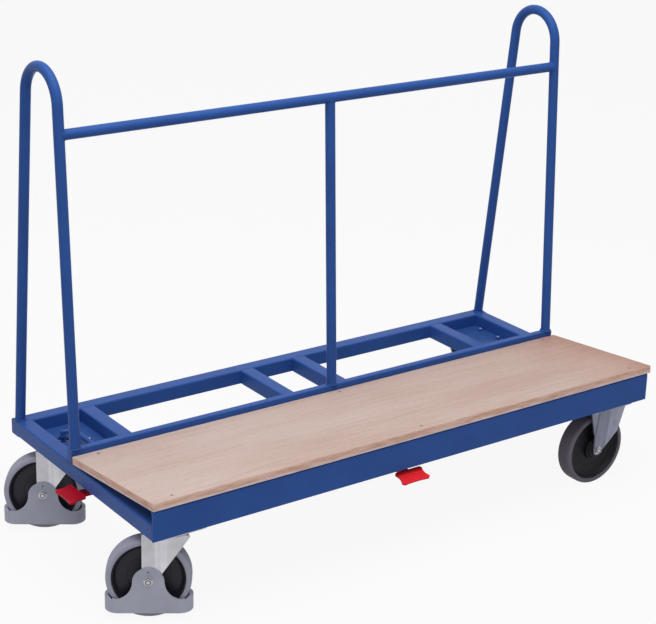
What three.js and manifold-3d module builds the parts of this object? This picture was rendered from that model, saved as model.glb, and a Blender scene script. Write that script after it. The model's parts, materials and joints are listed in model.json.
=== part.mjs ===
// Sheet goods cart: a welded tube base on casters, a tilted plywood deck that sheets stand on, bent tube
// hoops and a rail that they lean against, and a foot brake that is worked from one end and one long side.
// Millimetres. +X runs along the cart to the fixed casters, +Y to the back, +Z up from the floor.

import * as THREE from 'three';
import { mergeVertices } from 'three/addons/utils/BufferGeometryUtils.js';
import Module from 'manifold-3d';

// Base frame of square hollow section
const FRAME_LENGTH = 1540;
const FRAME_WIDTH = 710;
const RAIL_SIDE = 40;
const RAIL_WALL = 2.5;
const RAIL_CORNER = 4;
const OUTER_CROSS_INSET = 195;
const INNER_CROSS_PLACE = 85;
const CAP_THICKNESS = 3;

// Folded front beam, plywood deck and stop rail
const BEAM_HEIGHT = 76;
const BEAM_SHEET = 5;
const BEAM_FLANGE = 32;
const BEAM_FLANGE_SETBACK = 40;
const DECK_LENGTH = 1548;
const DECK_DEPTH = 383;
const DECK_THICKNESS = 20;
const DECK_SHIFT = 4.5;
const DECK_GAP = 1;
const STOP_HEIGHT = 35;
const STOP_WIDTH = 20;
const STOP_WALL = 2;
const STOP_CORNER = 3;

// Hoops, top rail and centre post of round tube
const TUBE_DIAMETER = 26;
const TUBE_WALL = 2;
const HOOP_INSET = 15;
const HOOP_TOP = 1221;
const FRONT_LEG_LEAN = 3.1;
const REAR_LEG_LEAN = 6;
const TOP_RAIL_HEIGHT = 1066;

// Wheels and axles
const WHEEL_DIAMETER = 200;
const TYRE_WIDTH = 45;
const TYRE_DEPTH = 13.5;
const TYRE_SHOULDER = 8;
const HUB_RIM_WIDTH = 38;
const HUB_RIM_DEPTH = 10;
const HUB_WEB = 16;
const HUB_BOSS_DIAMETER = 48;
const HUB_SLANT = 6;
const SLEEVE_DIAMETER = 20;
const AXLE_DIAMETER = 12;
const AXLE_HEAD_CORNERS = 22;
const AXLE_HEAD_HEIGHT = 7;

// Casters: bolted plates, the swivel heads' races and the forks
const PLATE_LENGTH = 140;
const PLATE_WIDTH = 110;
const PLATE_THICKNESS = 5;
const PAD_WIDTH = 116;
const PAD_THICKNESS = 6;
const PAD_HOLE = 32;
const FRONT_CASTER_INSET = 60;
const REAR_CASTER_INSET = 122;
const FIXED_INSET = 109;
const SWIVEL_INSET = 81;
const SWIVEL_TRAIL = 50;
const SWIVEL_YAW = -33;
const RACE_DIAMETER = 92;
const RACE_HEIGHT = 6;
const RACE_GAP = 0.5;
const CROWN_SHEET = 5.5;
const CROWN_CLEARANCE = 13;
const KINGPIN_DIAMETER = 24;
const KINGPIN_FLANGE_DIAMETER = 32;
const KINGPIN_FLANGE_HEIGHT = 3.5;
const FORK_SHEET = 4;
const FORK_GAP = 3;
const FORK_FOOT_RADIUS = 15;
const SWIVEL_FORK_LEAD = 94;
const FIXED_FORK_OFFSET = 27;
const FIXED_FORK_FLARE = 10;
const FIXED_FORK_BEND = 43;
const FIXED_FORK_BEND_LEAD = 69;
const FIXED_FORK_TOP_LEAD = 86;
const FIXED_FORK_TOP_BACK = 43;

// Plastic foot guards round the swivel wheels, with rises and drops from the axle
const GUARD_WALL = 4;
const GUARD_OVERHANG = 2.5;
const GUARD_END_FLAT = 3.6;
const GUARD_FLOOR_GAP = 17;
const GUARD_LEDGE_DROP = 49;
const GUARD_LEDGE_WIDTH = 168;
const GUARD_FLARE_WIDTH = 104;
const GUARD_FLARE_DROP = 24;
const GUARD_NECK_WIDTH = 74;
const GUARD_NECK_DROP = 1;
const GUARD_SHOULDER_RISE = 16;
const GUARD_BELL_WIDTH = 42;
const GUARD_BELL_RISE = 33;

// Foot brake: two shafts with fingers, the plungers that they press, and the pedals
const BRAKE_ANGLE = 14;
const SHAFT_DIAMETER = 14;
const SHAFT_OVERHANG = 12;
const FINGER_LENGTH = 30;
const LINK_LENGTH = 40;
const LINK_GAP = 1;
const ARM_DEPTH = 8;
const ARM_WIDTH = 10;
const KNOB_RADIUS = 6;
const LONG_SHAFT_INSET = 55;
const BEARING_SHEET = 6;
const BEARING_MARGIN = 6;
const FRONT_BEARING_PLACE = -150;
const REAR_BEARING_PLACE = 100;
const PLUNGER_DIAMETER = 10;
const PLUNGER_HEAD_DIAMETER = 18;
const PLUNGER_HEAD_HEIGHT = 5;
const SHOE_LENGTH = 28;
const SHOE_WIDTH = 30;
const PEDAL_HUB_DIAMETER = 26;
const PEDAL_HUB_COVER = 1;
const PEDAL_ARM_WIDTH = 24;
const PEDAL_ARM_DEPTH = 10;
const TREAD_LENGTH = 44;
const TREAD_WIDTH = 84;
const TREAD_NECK = 82;
const TREAD_WAIST = 73;
const TREAD_THICKNESS = 5;
const TREAD_CORNER = 9;
const END_PEDAL_PLACE = 0;
const END_PEDAL_DROP = 17;
const END_PEDAL_SLOPE = 8;
const END_PEDAL_OVERHANG = 42;
const SIDE_PEDAL_GAP = 15;
const SIDE_PEDAL_DROP = 11;
const SIDE_PEDAL_SLOPE = 18;
const SIDE_PEDAL_OVERHANG = 27;

// Clearances: FIT between joined pieces, RUN between a turning or sliding piece and what holds it
const FIT = 0.3;
const RUN = 0.5;

// Facets: sides of round pieces, and steps of rounded corners, curved edges and the hoops' bends
const WHEEL_SIDES = 36;
const TUBE_SIDES = 18;
const PIN_SIDES = 16;
const HEXAGON = 6;
const CORNER_STEPS = 1;
const CURVE_STEPS = 5;
const BEND_STEPS = 14;

// Heights and places that follow from the sizes above
const radians = THREE.MathUtils.degToRad;
const WHEEL_RADIUS = WHEEL_DIAMETER / 2;
const CROWN_BOTTOM = WHEEL_DIAMETER + CROWN_CLEARANCE;
const CROWN_TOP = CROWN_BOTTOM + CROWN_SHEET;
const RACE_BOTTOM = CROWN_TOP + RACE_GAP;
const PLATE_BOTTOM = RACE_BOTTOM + RACE_HEIGHT;
const PLATE_TOP = PLATE_BOTTOM + PLATE_THICKNESS;
const FRAME_BOTTOM = PLATE_TOP + FIT;
const RAIL_MIDDLE = FRAME_BOTTOM + RAIL_SIDE / 2;
const RAIL_TOP = FRAME_BOTTOM + RAIL_SIDE;
const END_FACE = FRAME_LENGTH / 2;
const FRONT_FACE = -FRAME_WIDTH / 2;
const REAR_FACE = FRAME_WIDTH / 2;
const REAR_RAIL_PLACE = REAR_FACE - RAIL_SIDE / 2;
const OUTER_CROSS_PLACE = END_FACE - OUTER_CROSS_INSET;
const BEAM_TOP = FRAME_BOTTOM + BEAM_HEIGHT;
const DECK_SLOPE = Math.asin((BEAM_HEIGHT - RAIL_SIDE) / DECK_DEPTH);
const DECK_RUN = DECK_DEPTH * Math.cos(DECK_SLOPE) + DECK_THICKNESS * Math.sin(DECK_SLOPE);
const STOP_PLACE = FRONT_FACE + DECK_RUN + DECK_GAP + STOP_WIDTH / 2;
const STOP_MIDDLE = RAIL_TOP + FIT + STOP_HEIGHT / 2;
const FRONT_SEAT = RAIL_TOP + FIT + STOP_HEIGHT + FIT;
const REAR_SEAT = RAIL_TOP + FIT;
const HOOP_PLACE = END_FACE - HOOP_INSET;
const TUBE_RADIUS = TUBE_DIAMETER / 2;
const TUBE_CLEAR = TUBE_RADIUS / Math.cos(Math.PI / TUBE_SIDES) + FIT;
const FRONT_LEAN = radians(FRONT_LEG_LEAN);
const REAR_LEAN = radians(REAR_LEG_LEAN);
const TOP_RAIL_PLACE = STOP_PLACE + (TOP_RAIL_HEIGHT - FRONT_SEAT) * Math.tan(FRONT_LEAN);
const SWIVEL_PLACE = SWIVEL_INSET - END_FACE;
const FIXED_PLACE = END_FACE - FIXED_INSET;
const CASTER_ROWS = { front: FRONT_FACE + FRONT_CASTER_INSET, rear: REAR_FACE - REAR_CASTER_INSET };
const LEG_INSIDE = TYRE_WIDTH / 2 + FORK_GAP;
const LEG_OUTSIDE = LEG_INSIDE + FORK_SHEET;
const GUARD_INSIDE = LEG_OUTSIDE + FIT;
const GUARD_OUTSIDE = GUARD_INSIDE + GUARD_WALL;
const AXLE_BORE = AXLE_DIAMETER / 2 + FIT;
const FLANGE_TOP = CROWN_BOTTOM - RUN;
const FLANGE_BOTTOM = FLANGE_TOP - KINGPIN_FLANGE_HEIGHT;
const BRAKE_HEIGHT = RAIL_TOP - PEDAL_HUB_DIAMETER / 2 - PEDAL_HUB_COVER;
const CROSS_SHAFT_PLACE = SWIVEL_PLACE + FINGER_LENGTH;
const LONG_SHAFT_PLACE = FRONT_FACE + LONG_SHAFT_INSET;
const LINK_END = CROSS_SHAFT_PLACE + LINK_LENGTH;
const SIDE_PEDAL_PLACE = SIDE_PEDAL_GAP + PEDAL_ARM_WIDTH / 2 + RAIL_SIDE / 2 - INNER_CROSS_PLACE;
const SHAFT_RADIUS = SHAFT_DIAMETER / 2;
const SHAFT_BORE = SHAFT_RADIUS + RUN;
const KNOB_RISE = KNOB_RADIUS + LINK_GAP / 2;
const PLUNGER_TRAVEL = FINGER_LENGTH * Math.sin(radians(BRAKE_ANGLE));

// Solids are joined and cut with these two
const wasm = await Module();
wasm.setup();

function solid(geometry) {
  const bare = geometry.clone();
  bare.deleteAttribute('normal');
  bare.deleteAttribute('uv');
  const merged = mergeVertices(bare);
  return new wasm.Manifold(new wasm.Mesh({
    numProp: 3,
    vertProperties: new Float32Array(merged.attributes.position.array),
    triVerts: new Uint32Array(merged.index.array),
  }));
}

function surface(body) {
  const mesh = body.getMesh();
  const geometry = new THREE.BufferGeometry();
  geometry.setAttribute('position', new THREE.BufferAttribute(mesh.vertProperties, 3));
  geometry.setIndex(new THREE.BufferAttribute(mesh.triVerts, 1));
  return geometry;
}

// Outlines
function polygon(points) {
  return new THREE.Shape(points.map(([across, up]) => new THREE.Vector2(across, up)));
}

function roundedBox(width, height, corner) {
  const across = width / 2 - corner;
  const up = height / 2 - corner;
  const outline = new THREE.Shape();
  [[1, 1], [-1, 1], [-1, -1], [1, -1]].forEach(([wayAcross, wayUp], quarter) => {
    const from = quarter * Math.PI / 2;
    outline.absarc(wayAcross * across, wayUp * up, corner, from, from + Math.PI / 2);
  });
  return outline;
}

function boxSection(width, height, wall, corner) {
  const across = width / 2 - wall;
  const up = height / 2 - wall;
  const outline = roundedBox(width, height, corner);
  outline.holes.push(polygon([[-across, -up], [across, -up], [across, up], [-across, up]]));
  return outline;
}

function tubeSection() {
  const around = (radius) => new THREE.Shape().absarc(0, 0, radius, 0, 2 * Math.PI);
  const outline = around(TUBE_RADIUS);
  outline.holes.push(around(TUBE_RADIUS - TUBE_WALL));
  return outline;
}

// Outlines in X and Y, in Y and Z or in X and Z, drawn out along the third axis
function alongZ(outline, length, curveSegments = CORNER_STEPS) {
  return new THREE.ExtrudeGeometry(outline, { depth: length, bevelEnabled: false, curveSegments });
}

function alongX(outline, length, curveSegments = CORNER_STEPS) {
  const turn = new THREE.Matrix4();
  turn.makeBasis(new THREE.Vector3(0, 1, 0), new THREE.Vector3(0, 0, 1), new THREE.Vector3(1, 0, 0));
  return alongZ(outline, length, curveSegments).translate(0, 0, -length / 2).applyMatrix4(turn);
}

function alongY(outline, length, curveSegments = CORNER_STEPS) {
  return alongZ(outline, length, curveSegments).translate(0, 0, -length / 2).rotateX(Math.PI / 2);
}

// Blocks between two corners, and round bars along each axis from one end to the other
function block(low, high) {
  const size = high.map((value, axis) => value - low[axis]);
  const centre = high.map((value, axis) => (value + low[axis]) / 2);
  return new THREE.BoxGeometry(...size).translate(...centre);
}

function barY(radius, low, high, sides = PIN_SIDES) {
  return new THREE.CylinderGeometry(radius, radius, high - low, sides).translate(0, (low + high) / 2, 0);
}

function barX(radius, low, high, sides = PIN_SIDES) {
  return barY(radius, -high, -low, sides).rotateZ(Math.PI / 2);
}

function barZ(radius, low, high, sides = PIN_SIDES) {
  return barY(radius, low, high, sides).rotateX(Math.PI / 2);
}

// A ring turned about Y from its half section, which runs up the outside
function turned(section, sides) {
  const points = [...section, section[0]].map(([radius, along]) => new THREE.Vector2(radius, along));
  return new THREE.LatheGeometry(points, sides);
}

// Finishes
const FINISHES = {
  paint: { color: 0x2f4f94, roughness: 0.38, metalness: 0.15 },
  plywood: { color: 0xcdb3a6, roughness: 0.6, metalness: 0 },
  zinc: { color: 0xbcbcc2, roughness: 0.32, metalness: 0.9 },
  swivelTyre: { color: 0x8a8a96, roughness: 0.7, metalness: 0 },
  fixedTyre: { color: 0x5f5a62, roughness: 0.7, metalness: 0 },
  hub: { color: 0x29292e, roughness: 0.5, metalness: 0 },
  guard: { color: 0x8d9099, roughness: 0.5, metalness: 0 },
  pedal: { color: 0xbb1428, roughness: 0.4, metalness: 0.1 },
};

function piece(parent, name, geometry, finish, place = [0, 0, 0]) {
  const mesh = new THREE.Mesh(geometry, new THREE.MeshStandardMaterial(FINISHES[finish]));
  mesh.name = name;
  mesh.position.set(...place);
  parent.add(mesh);
}

const cart = new THREE.Group();
const ENDS = [['left', -1], ['right', 1]];

// Base frame: the rear rail runs full length, and the end rails and cross rails butt against it and the beam
const railSection = boxSection(RAIL_SIDE, RAIL_SIDE, RAIL_WALL, RAIL_CORNER);
const cappedLength = FRAME_LENGTH - 2 * (CAP_THICKNESS + FIT);
const sideRailFront = FRONT_FACE + BEAM_SHEET + FIT;
const sideRailRear = REAR_FACE - RAIL_SIDE - FIT;
const sideRailLength = sideRailRear - sideRailFront;
const sideRailMiddle = (sideRailRear + sideRailFront) / 2;

function sideRail() {
  return alongY(railSection, sideRailLength);
}

// The left cross rails have a bore that the long brake shaft turns in
function boredRail() {
  const bore = barX(SHAFT_BORE, -RAIL_SIDE, RAIL_SIDE);
  bore.translate(0, LONG_SHAFT_PLACE - sideRailMiddle, BRAKE_HEIGHT - RAIL_MIDDLE);
  return surface(solid(sideRail()).subtract(solid(bore)));
}

piece(cart, 'rear_rail', alongX(railSection, cappedLength), 'paint', [0, REAR_RAIL_PLACE, RAIL_MIDDLE]);
ENDS.forEach(([end, way]) => {
  const crossRail = way < 0 ? boredRail : sideRail;
  [
    ['end_rail', END_FACE - RAIL_SIDE / 2, sideRail()],
    ['outer_cross_rail', OUTER_CROSS_PLACE, crossRail()],
    ['inner_cross_rail', INNER_CROSS_PLACE, crossRail()],
  ].forEach(([name, place, geometry]) => {
    piece(cart, `${end}_${name}`, geometry, 'paint', [way * place, sideRailMiddle, RAIL_MIDDLE]);
  });
});

// Stop rail: a narrow section on edge behind the deck, which the feet of the sheets meet
const stopSection = boxSection(STOP_WIDTH, STOP_HEIGHT, STOP_WALL, STOP_CORNER);
piece(cart, 'stop_rail', alongX(stopSection, cappedLength), 'paint', [0, STOP_PLACE, STOP_MIDDLE]);

// Welded plates close the ends of the rear rail and the stop rail
ENDS.forEach(([end, way]) => {
  const place = way * (END_FACE - CAP_THICKNESS / 2);
  const rearCap = alongX(roundedBox(RAIL_SIDE, RAIL_SIDE, RAIL_CORNER), CAP_THICKNESS);
  const stopCap = alongX(roundedBox(STOP_WIDTH, STOP_HEIGHT, STOP_CORNER), CAP_THICKNESS);
  piece(cart, `rear_rail_${end}_cap`, rearCap, 'paint', [place, REAR_RAIL_PLACE, RAIL_MIDDLE]);
  piece(cart, `stop_rail_${end}_cap`, stopCap, 'paint', [place, STOP_PLACE, STOP_MIDDLE]);
});

// Front beam: sheet that is folded in at the top, on the deck's slope, with the fold cut back at the ends
const beamInside = FRONT_FACE + BEAM_SHEET;
const flangeEdge = FRONT_FACE + BEAM_FLANGE;
const beamTopAt = (place) => BEAM_TOP - (place - FRONT_FACE) * Math.tan(DECK_SLOPE);
const beamSection = polygon([
  [FRONT_FACE, FRAME_BOTTOM],
  [beamInside, FRAME_BOTTOM],
  [beamInside, beamTopAt(beamInside) - BEAM_SHEET],
  [flangeEdge, beamTopAt(flangeEdge) - BEAM_SHEET],
  [flangeEdge, beamTopAt(flangeEdge)],
  [FRONT_FACE, BEAM_TOP],
]);
const flangeEnd = FRAME_LENGTH / 2 - BEAM_FLANGE_SETBACK;
const flangeTrims = [[-FRAME_LENGTH, -flangeEnd], [flangeEnd, FRAME_LENGTH]].map(([left, right]) => (
  solid(block([left, beamInside, FRAME_BOTTOM], [right, flangeEdge + FIT, BEAM_TOP]))
));
const beamBlank = solid(alongX(beamSection, FRAME_LENGTH));
const frontBeam = surface(flangeTrims.reduce((beam, trim) => beam.subtract(trim), beamBlank));
piece(cart, 'front_beam', frontBeam, 'paint');

// Deck board: its front edge lies on the beam, and its back edge on the rails in front of the stop rail
const deck = new THREE.Group();
deck.position.set(DECK_SHIFT, FRONT_FACE, BEAM_TOP + FIT);
deck.rotation.x = -DECK_SLOPE;
const deckBoard = block([-DECK_LENGTH / 2, 0, 0], [DECK_LENGTH / 2, DECK_DEPTH, DECK_THICKNESS]);
piece(deck, 'deck_board', deckBoard, 'plywood');
cart.add(deck);

// A hoop's centre line: up the leaning front leg, round the bend and down the rear leg
class HoopLine extends THREE.Curve {
  constructor(frontFoot, rearFoot, top) {
    super();
    this.frontFoot = frontFoot;
    this.rearFoot = rearFoot;
    const frontReach = (top - frontFoot.z) * Math.tan(FRONT_LEAN);
    const rearReach = (top - rearFoot.z) * Math.tan(REAR_LEAN);
    const frontShare = (1 - Math.sin(FRONT_LEAN)) / Math.cos(FRONT_LEAN);
    const rearShare = (1 - Math.sin(REAR_LEAN)) / Math.cos(REAR_LEAN);
    this.radius = (rearFoot.y - frontFoot.y - frontReach - rearReach) / (frontShare + rearShare);
    const middle = frontFoot.y + frontReach + this.radius * frontShare;
    this.centre = new THREE.Vector3(0, middle, top - this.radius);
  }

  onBend(share) {
    const angle = THREE.MathUtils.lerp(Math.PI - FRONT_LEAN, REAR_LEAN, share);
    const spoke = new THREE.Vector3(0, Math.cos(angle), Math.sin(angle));
    return spoke.multiplyScalar(this.radius).add(this.centre);
  }

  getPoint(share) {
    const step = share * (BEND_STEPS + 2);
    if (step <= 1) {
      return this.frontFoot.clone().lerp(this.onBend(0), step);
    }
    if (step >= BEND_STEPS + 1) {
      return this.onBend(1).lerp(this.rearFoot, step - BEND_STEPS - 1);
    }
    return this.onBend((step - 1) / BEND_STEPS);
  }

  // Each leg is one step, and the other steps lie on the bend
  getUtoTmapping(share) {
    return share;
  }
}

// The legs are drawn from below their seats, and cut level where they stand on the stop rail and rear rail
function hoop() {
  const frontFoot = new THREE.Vector3(0, STOP_PLACE, FRONT_SEAT);
  const rearFoot = new THREE.Vector3(0, REAR_RAIL_PLACE, REAR_SEAT);
  frontFoot.add(new THREE.Vector3(0, -Math.tan(FRONT_LEAN), -1).multiplyScalar(TUBE_RADIUS));
  rearFoot.add(new THREE.Vector3(0, Math.tan(REAR_LEAN), -1).multiplyScalar(TUBE_RADIUS));
  const tube = new THREE.ExtrudeGeometry(tubeSection(), {
    steps: BEND_STEPS + 2,
    extrudePath: new HoopLine(frontFoot, rearFoot, HOOP_TOP - TUBE_RADIUS),
    bevelEnabled: false,
    curveSegments: TUBE_SIDES / 2,
  });
  const between = (STOP_PLACE + REAR_RAIL_PLACE) / 2;
  const underFront = block([-TUBE_DIAMETER, FRONT_FACE, 0], [TUBE_DIAMETER, between, FRONT_SEAT]);
  const underRear = block([-TUBE_DIAMETER, between, 0], [TUBE_DIAMETER, FRAME_WIDTH, REAR_SEAT]);
  return surface(solid(tube).subtract(solid(underFront)).subtract(solid(underRear)));
}

ENDS.forEach(([end, way]) => piece(cart, `${end}_hoop`, hoop(), 'paint', [way * HOOP_PLACE, 0, 0]));

// Top rail: its ends are shaped to the hoops' front legs
function topRail() {
  const legs = ENDS.map(([, way]) => {
    const leg = barZ(TUBE_CLEAR, 0, HOOP_TOP - FRONT_SEAT, TUBE_SIDES).rotateX(-FRONT_LEAN);
    return solid(leg.translate(way * HOOP_PLACE, STOP_PLACE, FRONT_SEAT));
  });
  const tube = alongX(tubeSection(), 2 * HOOP_PLACE, TUBE_SIDES / 2);
  tube.translate(0, TOP_RAIL_PLACE, TOP_RAIL_HEIGHT);
  return surface(legs.reduce((rail, leg) => rail.subtract(leg), solid(tube)));
}

piece(cart, 'top_rail', topRail(), 'paint');

// Centre post: in the plane of the front legs, from the stop rail to the shaped joint under the top rail
function centrePost() {
  const length = TUBE_DIAMETER + (TOP_RAIL_HEIGHT - FRONT_SEAT) / Math.cos(FRONT_LEAN);
  const post = alongZ(tubeSection(), length, TUBE_SIDES / 2).translate(0, 0, -TUBE_DIAMETER);
  post.rotateX(-FRONT_LEAN).translate(0, STOP_PLACE, FRONT_SEAT);
  const under = block([-TUBE_DIAMETER, FRONT_FACE, 0], [TUBE_DIAMETER, REAR_FACE, FRONT_SEAT]);
  const rail = barX(TUBE_CLEAR, -TUBE_DIAMETER, TUBE_DIAMETER, TUBE_SIDES);
  rail.translate(0, TOP_RAIL_PLACE, TOP_RAIL_HEIGHT);
  return surface(solid(post).subtract(solid(under)).subtract(solid(rail)));
}

piece(cart, 'centre_post', centrePost(), 'paint');

// Wheel: a dished plastic hub and the tyre moulded round it, on a steel sleeve over the axle bolt
function bothSides(half) {
  const mirrored = half.map(([radius, along]) => [radius, -along]);
  return [...mirrored, ...half.reverse()];
}

function tyre() {
  const edge = TYRE_WIDTH / 2;
  const chamfer = TYRE_SHOULDER * (1 - Math.SQRT1_2);
  const section = bothSides([
    [WHEEL_RADIUS - TYRE_DEPTH, edge],
    [WHEEL_RADIUS - TYRE_SHOULDER, edge],
    [WHEEL_RADIUS - chamfer, edge - chamfer],
    [WHEEL_RADIUS, edge - TYRE_SHOULDER],
  ]);
  return turned(section, WHEEL_SIDES);
}

function hub() {
  const boss = HUB_BOSS_DIAMETER / 2;
  const outside = WHEEL_RADIUS - TYRE_DEPTH - FIT;
  const rim = outside - HUB_RIM_DEPTH;
  const section = bothSides([
    [SLEEVE_DIAMETER / 2 + RUN, LEG_INSIDE - RUN],
    [boss, LEG_INSIDE - RUN],
    [boss + HUB_SLANT, HUB_WEB / 2],
    [rim - HUB_SLANT, HUB_WEB / 2],
    [rim, HUB_RIM_WIDTH / 2],
    [outside, HUB_RIM_WIDTH / 2],
  ]);
  return turned(section, WHEEL_SIDES);
}

function sleeve() {
  const end = LEG_INSIDE - FIT;
  return turned(bothSides([[AXLE_BORE, end], [SLEEVE_DIAMETER / 2, end]]), PIN_SIDES);
}

// Axle bolt: a hexagon head and a nut against the outermost sheet on each side
function axle(seat) {
  const head = seat + FIT;
  const tip = head + AXLE_HEAD_HEIGHT;
  const bolt = barY(AXLE_HEAD_CORNERS / 2, -tip, -head, HEXAGON);
  const nut = barY(AXLE_HEAD_CORNERS / 2, head, tip, HEXAGON);
  const shank = barY(AXLE_DIAMETER / 2, -tip, tip);
  return surface(solid(shank).add(solid(nut)).add(solid(bolt)));
}

function wheel(parent, name, seat, tyreFinish) {
  piece(parent, `${name}_axle`, axle(seat), 'zinc');
  piece(parent, `${name}_sleeve`, sleeve(), 'zinc');
  piece(parent, `${name}_hub`, hub(), 'hub');
  piece(parent, `${name}_tyre`, tyre(), tyreFinish);
}

// A fork leg's outline about its axle: along the top, down the back edge, round the foot and up the lead
function legOutline(back, lead) {
  const [leadAcross, leadUp] = lead[0];
  const leadAngle = Math.atan2(leadUp, leadAcross);
  const touch = leadAngle - Math.acos(FORK_FOOT_RADIUS / Math.hypot(leadAcross, leadUp));
  const outline = new THREE.Shape();
  outline.moveTo(...lead.at(-1));
  back.forEach((point) => outline.lineTo(...point));
  outline.absarc(0, 0, FORK_FOOT_RADIUS, Math.PI, 2 * Math.PI + touch);
  lead.slice(0, -1).forEach((point) => outline.lineTo(...point));
  return outline;
}

function axleBore(place) {
  return solid(barY(AXLE_BORE, -PLATE_WIDTH, PLATE_WIDTH).translate(...place));
}

function topPlate() {
  const reach = [PLATE_LENGTH / 2, PLATE_WIDTH / 2];
  return solid(block([-reach[0], -reach[1], PLATE_BOTTOM], [...reach, PLATE_TOP]));
}

// Swivel plate: the upper race stands under it, and the kingpin's seat goes right through
function swivelPlate() {
  const race = barZ(RACE_DIAMETER / 2, RACE_BOTTOM, PLATE_TOP, WHEEL_SIDES);
  const seat = barZ(KINGPIN_DIAMETER / 2 + FIT, 0, FRAME_BOTTOM);
  return surface(topPlate().add(solid(race)).subtract(solid(seat)));
}

// Kingpin: a hollow rivet whose flange holds the fork up, and whose bore guides the brake plunger
function kingpin() {
  const bore = PLUNGER_DIAMETER / 2 + RUN;
  const stem = KINGPIN_DIAMETER / 2;
  const flange = KINGPIN_FLANGE_DIAMETER / 2;
  const section = [
    [bore, FLANGE_BOTTOM],
    [flange, FLANGE_BOTTOM],
    [flange, FLANGE_TOP],
    [stem, FLANGE_TOP],
    [stem, PLATE_TOP],
    [bore, PLATE_TOP],
  ];
  return turned(section, PIN_SIDES).rotateX(Math.PI / 2);
}

// Swivel fork about its turning axis: a crown with the lower race, and legs that trail behind
function swivelFork() {
  const crownRise = CROWN_TOP - WHEEL_RADIUS;
  const outline = legOutline([[-FORK_FOOT_RADIUS, crownRise]], [[SWIVEL_FORK_LEAD, crownRise]]);
  const legs = [-1, 1].map((way) => {
    const leg = alongY(outline, FORK_SHEET, CURVE_STEPS);
    return solid(leg.translate(-SWIVEL_TRAIL, way * (LEG_INSIDE + FORK_SHEET / 2), WHEEL_RADIUS));
  });
  const crownBack = -SWIVEL_TRAIL - FORK_FOOT_RADIUS;
  const crownFront = SWIVEL_FORK_LEAD - SWIVEL_TRAIL - CROWN_SHEET;
  const crown = block([crownBack, -LEG_OUTSIDE, CROWN_BOTTOM], [crownFront, LEG_OUTSIDE, CROWN_TOP]);
  const race = barZ(RACE_DIAMETER / 2, CROWN_BOTTOM, CROWN_TOP, WHEEL_SIDES);
  const bore = barZ(KINGPIN_DIAMETER / 2 + RUN, 0, PLATE_TOP);
  const whole = legs.reduce((fork, leg) => fork.add(leg), solid(crown).add(solid(race)));
  return surface(whole.subtract(solid(bore)).subtract(axleBore([-SWIVEL_TRAIL, 0, WHEEL_RADIUS])));
}

// Brake plunger: a head under the shaft's finger, a rod, and a shoe that is hollowed to the tyre's round
function brakePlunger() {
  const headTop = BRAKE_HEIGHT - KNOB_RADIUS - FIT;
  const shoeTop = FLANGE_BOTTOM - RUN;
  const tyreMiddle = WHEEL_RADIUS + PLUNGER_TRAVEL;
  const rod = barZ(PLUNGER_DIAMETER / 2, shoeTop - KINGPIN_FLANGE_HEIGHT, headTop);
  const head = barZ(PLUNGER_HEAD_DIAMETER / 2, headTop - PLUNGER_HEAD_HEIGHT, headTop);
  const shoeLow = [-SHOE_LENGTH / 2, -SHOE_WIDTH / 2, tyreMiddle];
  const shoe = block(shoeLow, [SHOE_LENGTH / 2, SHOE_WIDTH / 2, shoeTop]);
  const round = barY(WHEEL_RADIUS + RUN, -TYRE_WIDTH, TYRE_WIDTH, 2 * WHEEL_SIDES);
  round.translate(-SWIVEL_TRAIL, 0, tyreMiddle);
  return surface(solid(shoe).subtract(solid(round)).add(solid(rod)).add(solid(head)));
}

// Guard about the axle: a skirt with round ends, open above and below, and a bell each side on the axle bolt
function guard() {
  const end = WHEEL_RADIUS + GUARD_OVERHANG;
  const corner = GUARD_OUTSIDE - GUARD_END_FLAT / 2;
  const bottom = GUARD_FLOOR_GAP - WHEEL_RADIUS;
  const bell = GUARD_BELL_WIDTH / 2;
  const neck = GUARD_NECK_WIDTH / 2;
  const flare = GUARD_FLARE_WIDTH / 2;
  const ledge = GUARD_LEDGE_WIDTH / 2;
  const outline = new THREE.Shape();
  outline.moveTo(-end, bottom);
  outline.lineTo(end, bottom);
  outline.lineTo(end, -GUARD_LEDGE_DROP);
  outline.lineTo(ledge, -GUARD_LEDGE_DROP);
  outline.bezierCurveTo(flare, -GUARD_LEDGE_DROP, neck, -GUARD_FLARE_DROP, neck, -GUARD_NECK_DROP);
  outline.bezierCurveTo(neck, GUARD_SHOULDER_RISE, bell, GUARD_BELL_RISE, 0, GUARD_BELL_RISE);
  outline.bezierCurveTo(-bell, GUARD_BELL_RISE, -neck, GUARD_SHOULDER_RISE, -neck, -GUARD_NECK_DROP);
  outline.bezierCurveTo(-neck, -GUARD_FLARE_DROP, -flare, -GUARD_LEDGE_DROP, -ledge, -GUARD_LEDGE_DROP);
  outline.lineTo(-end, -GUARD_LEDGE_DROP);
  const [outside, inside] = [0, GUARD_WALL].map((wall) => {
    const plan = roundedBox(2 * (end - wall), 2 * (GUARD_OUTSIDE - wall), corner - wall);
    return solid(alongZ(plan, 2 * WHEEL_RADIUS, CURVE_STEPS).translate(0, 0, -WHEEL_RADIUS));
  });
  const whole = solid(alongY(outline, 2 * GUARD_OUTSIDE, CURVE_STEPS)).intersect(outside);
  return surface(whole.subtract(inside).subtract(axleBore([0, 0, 0])));
}

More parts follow.
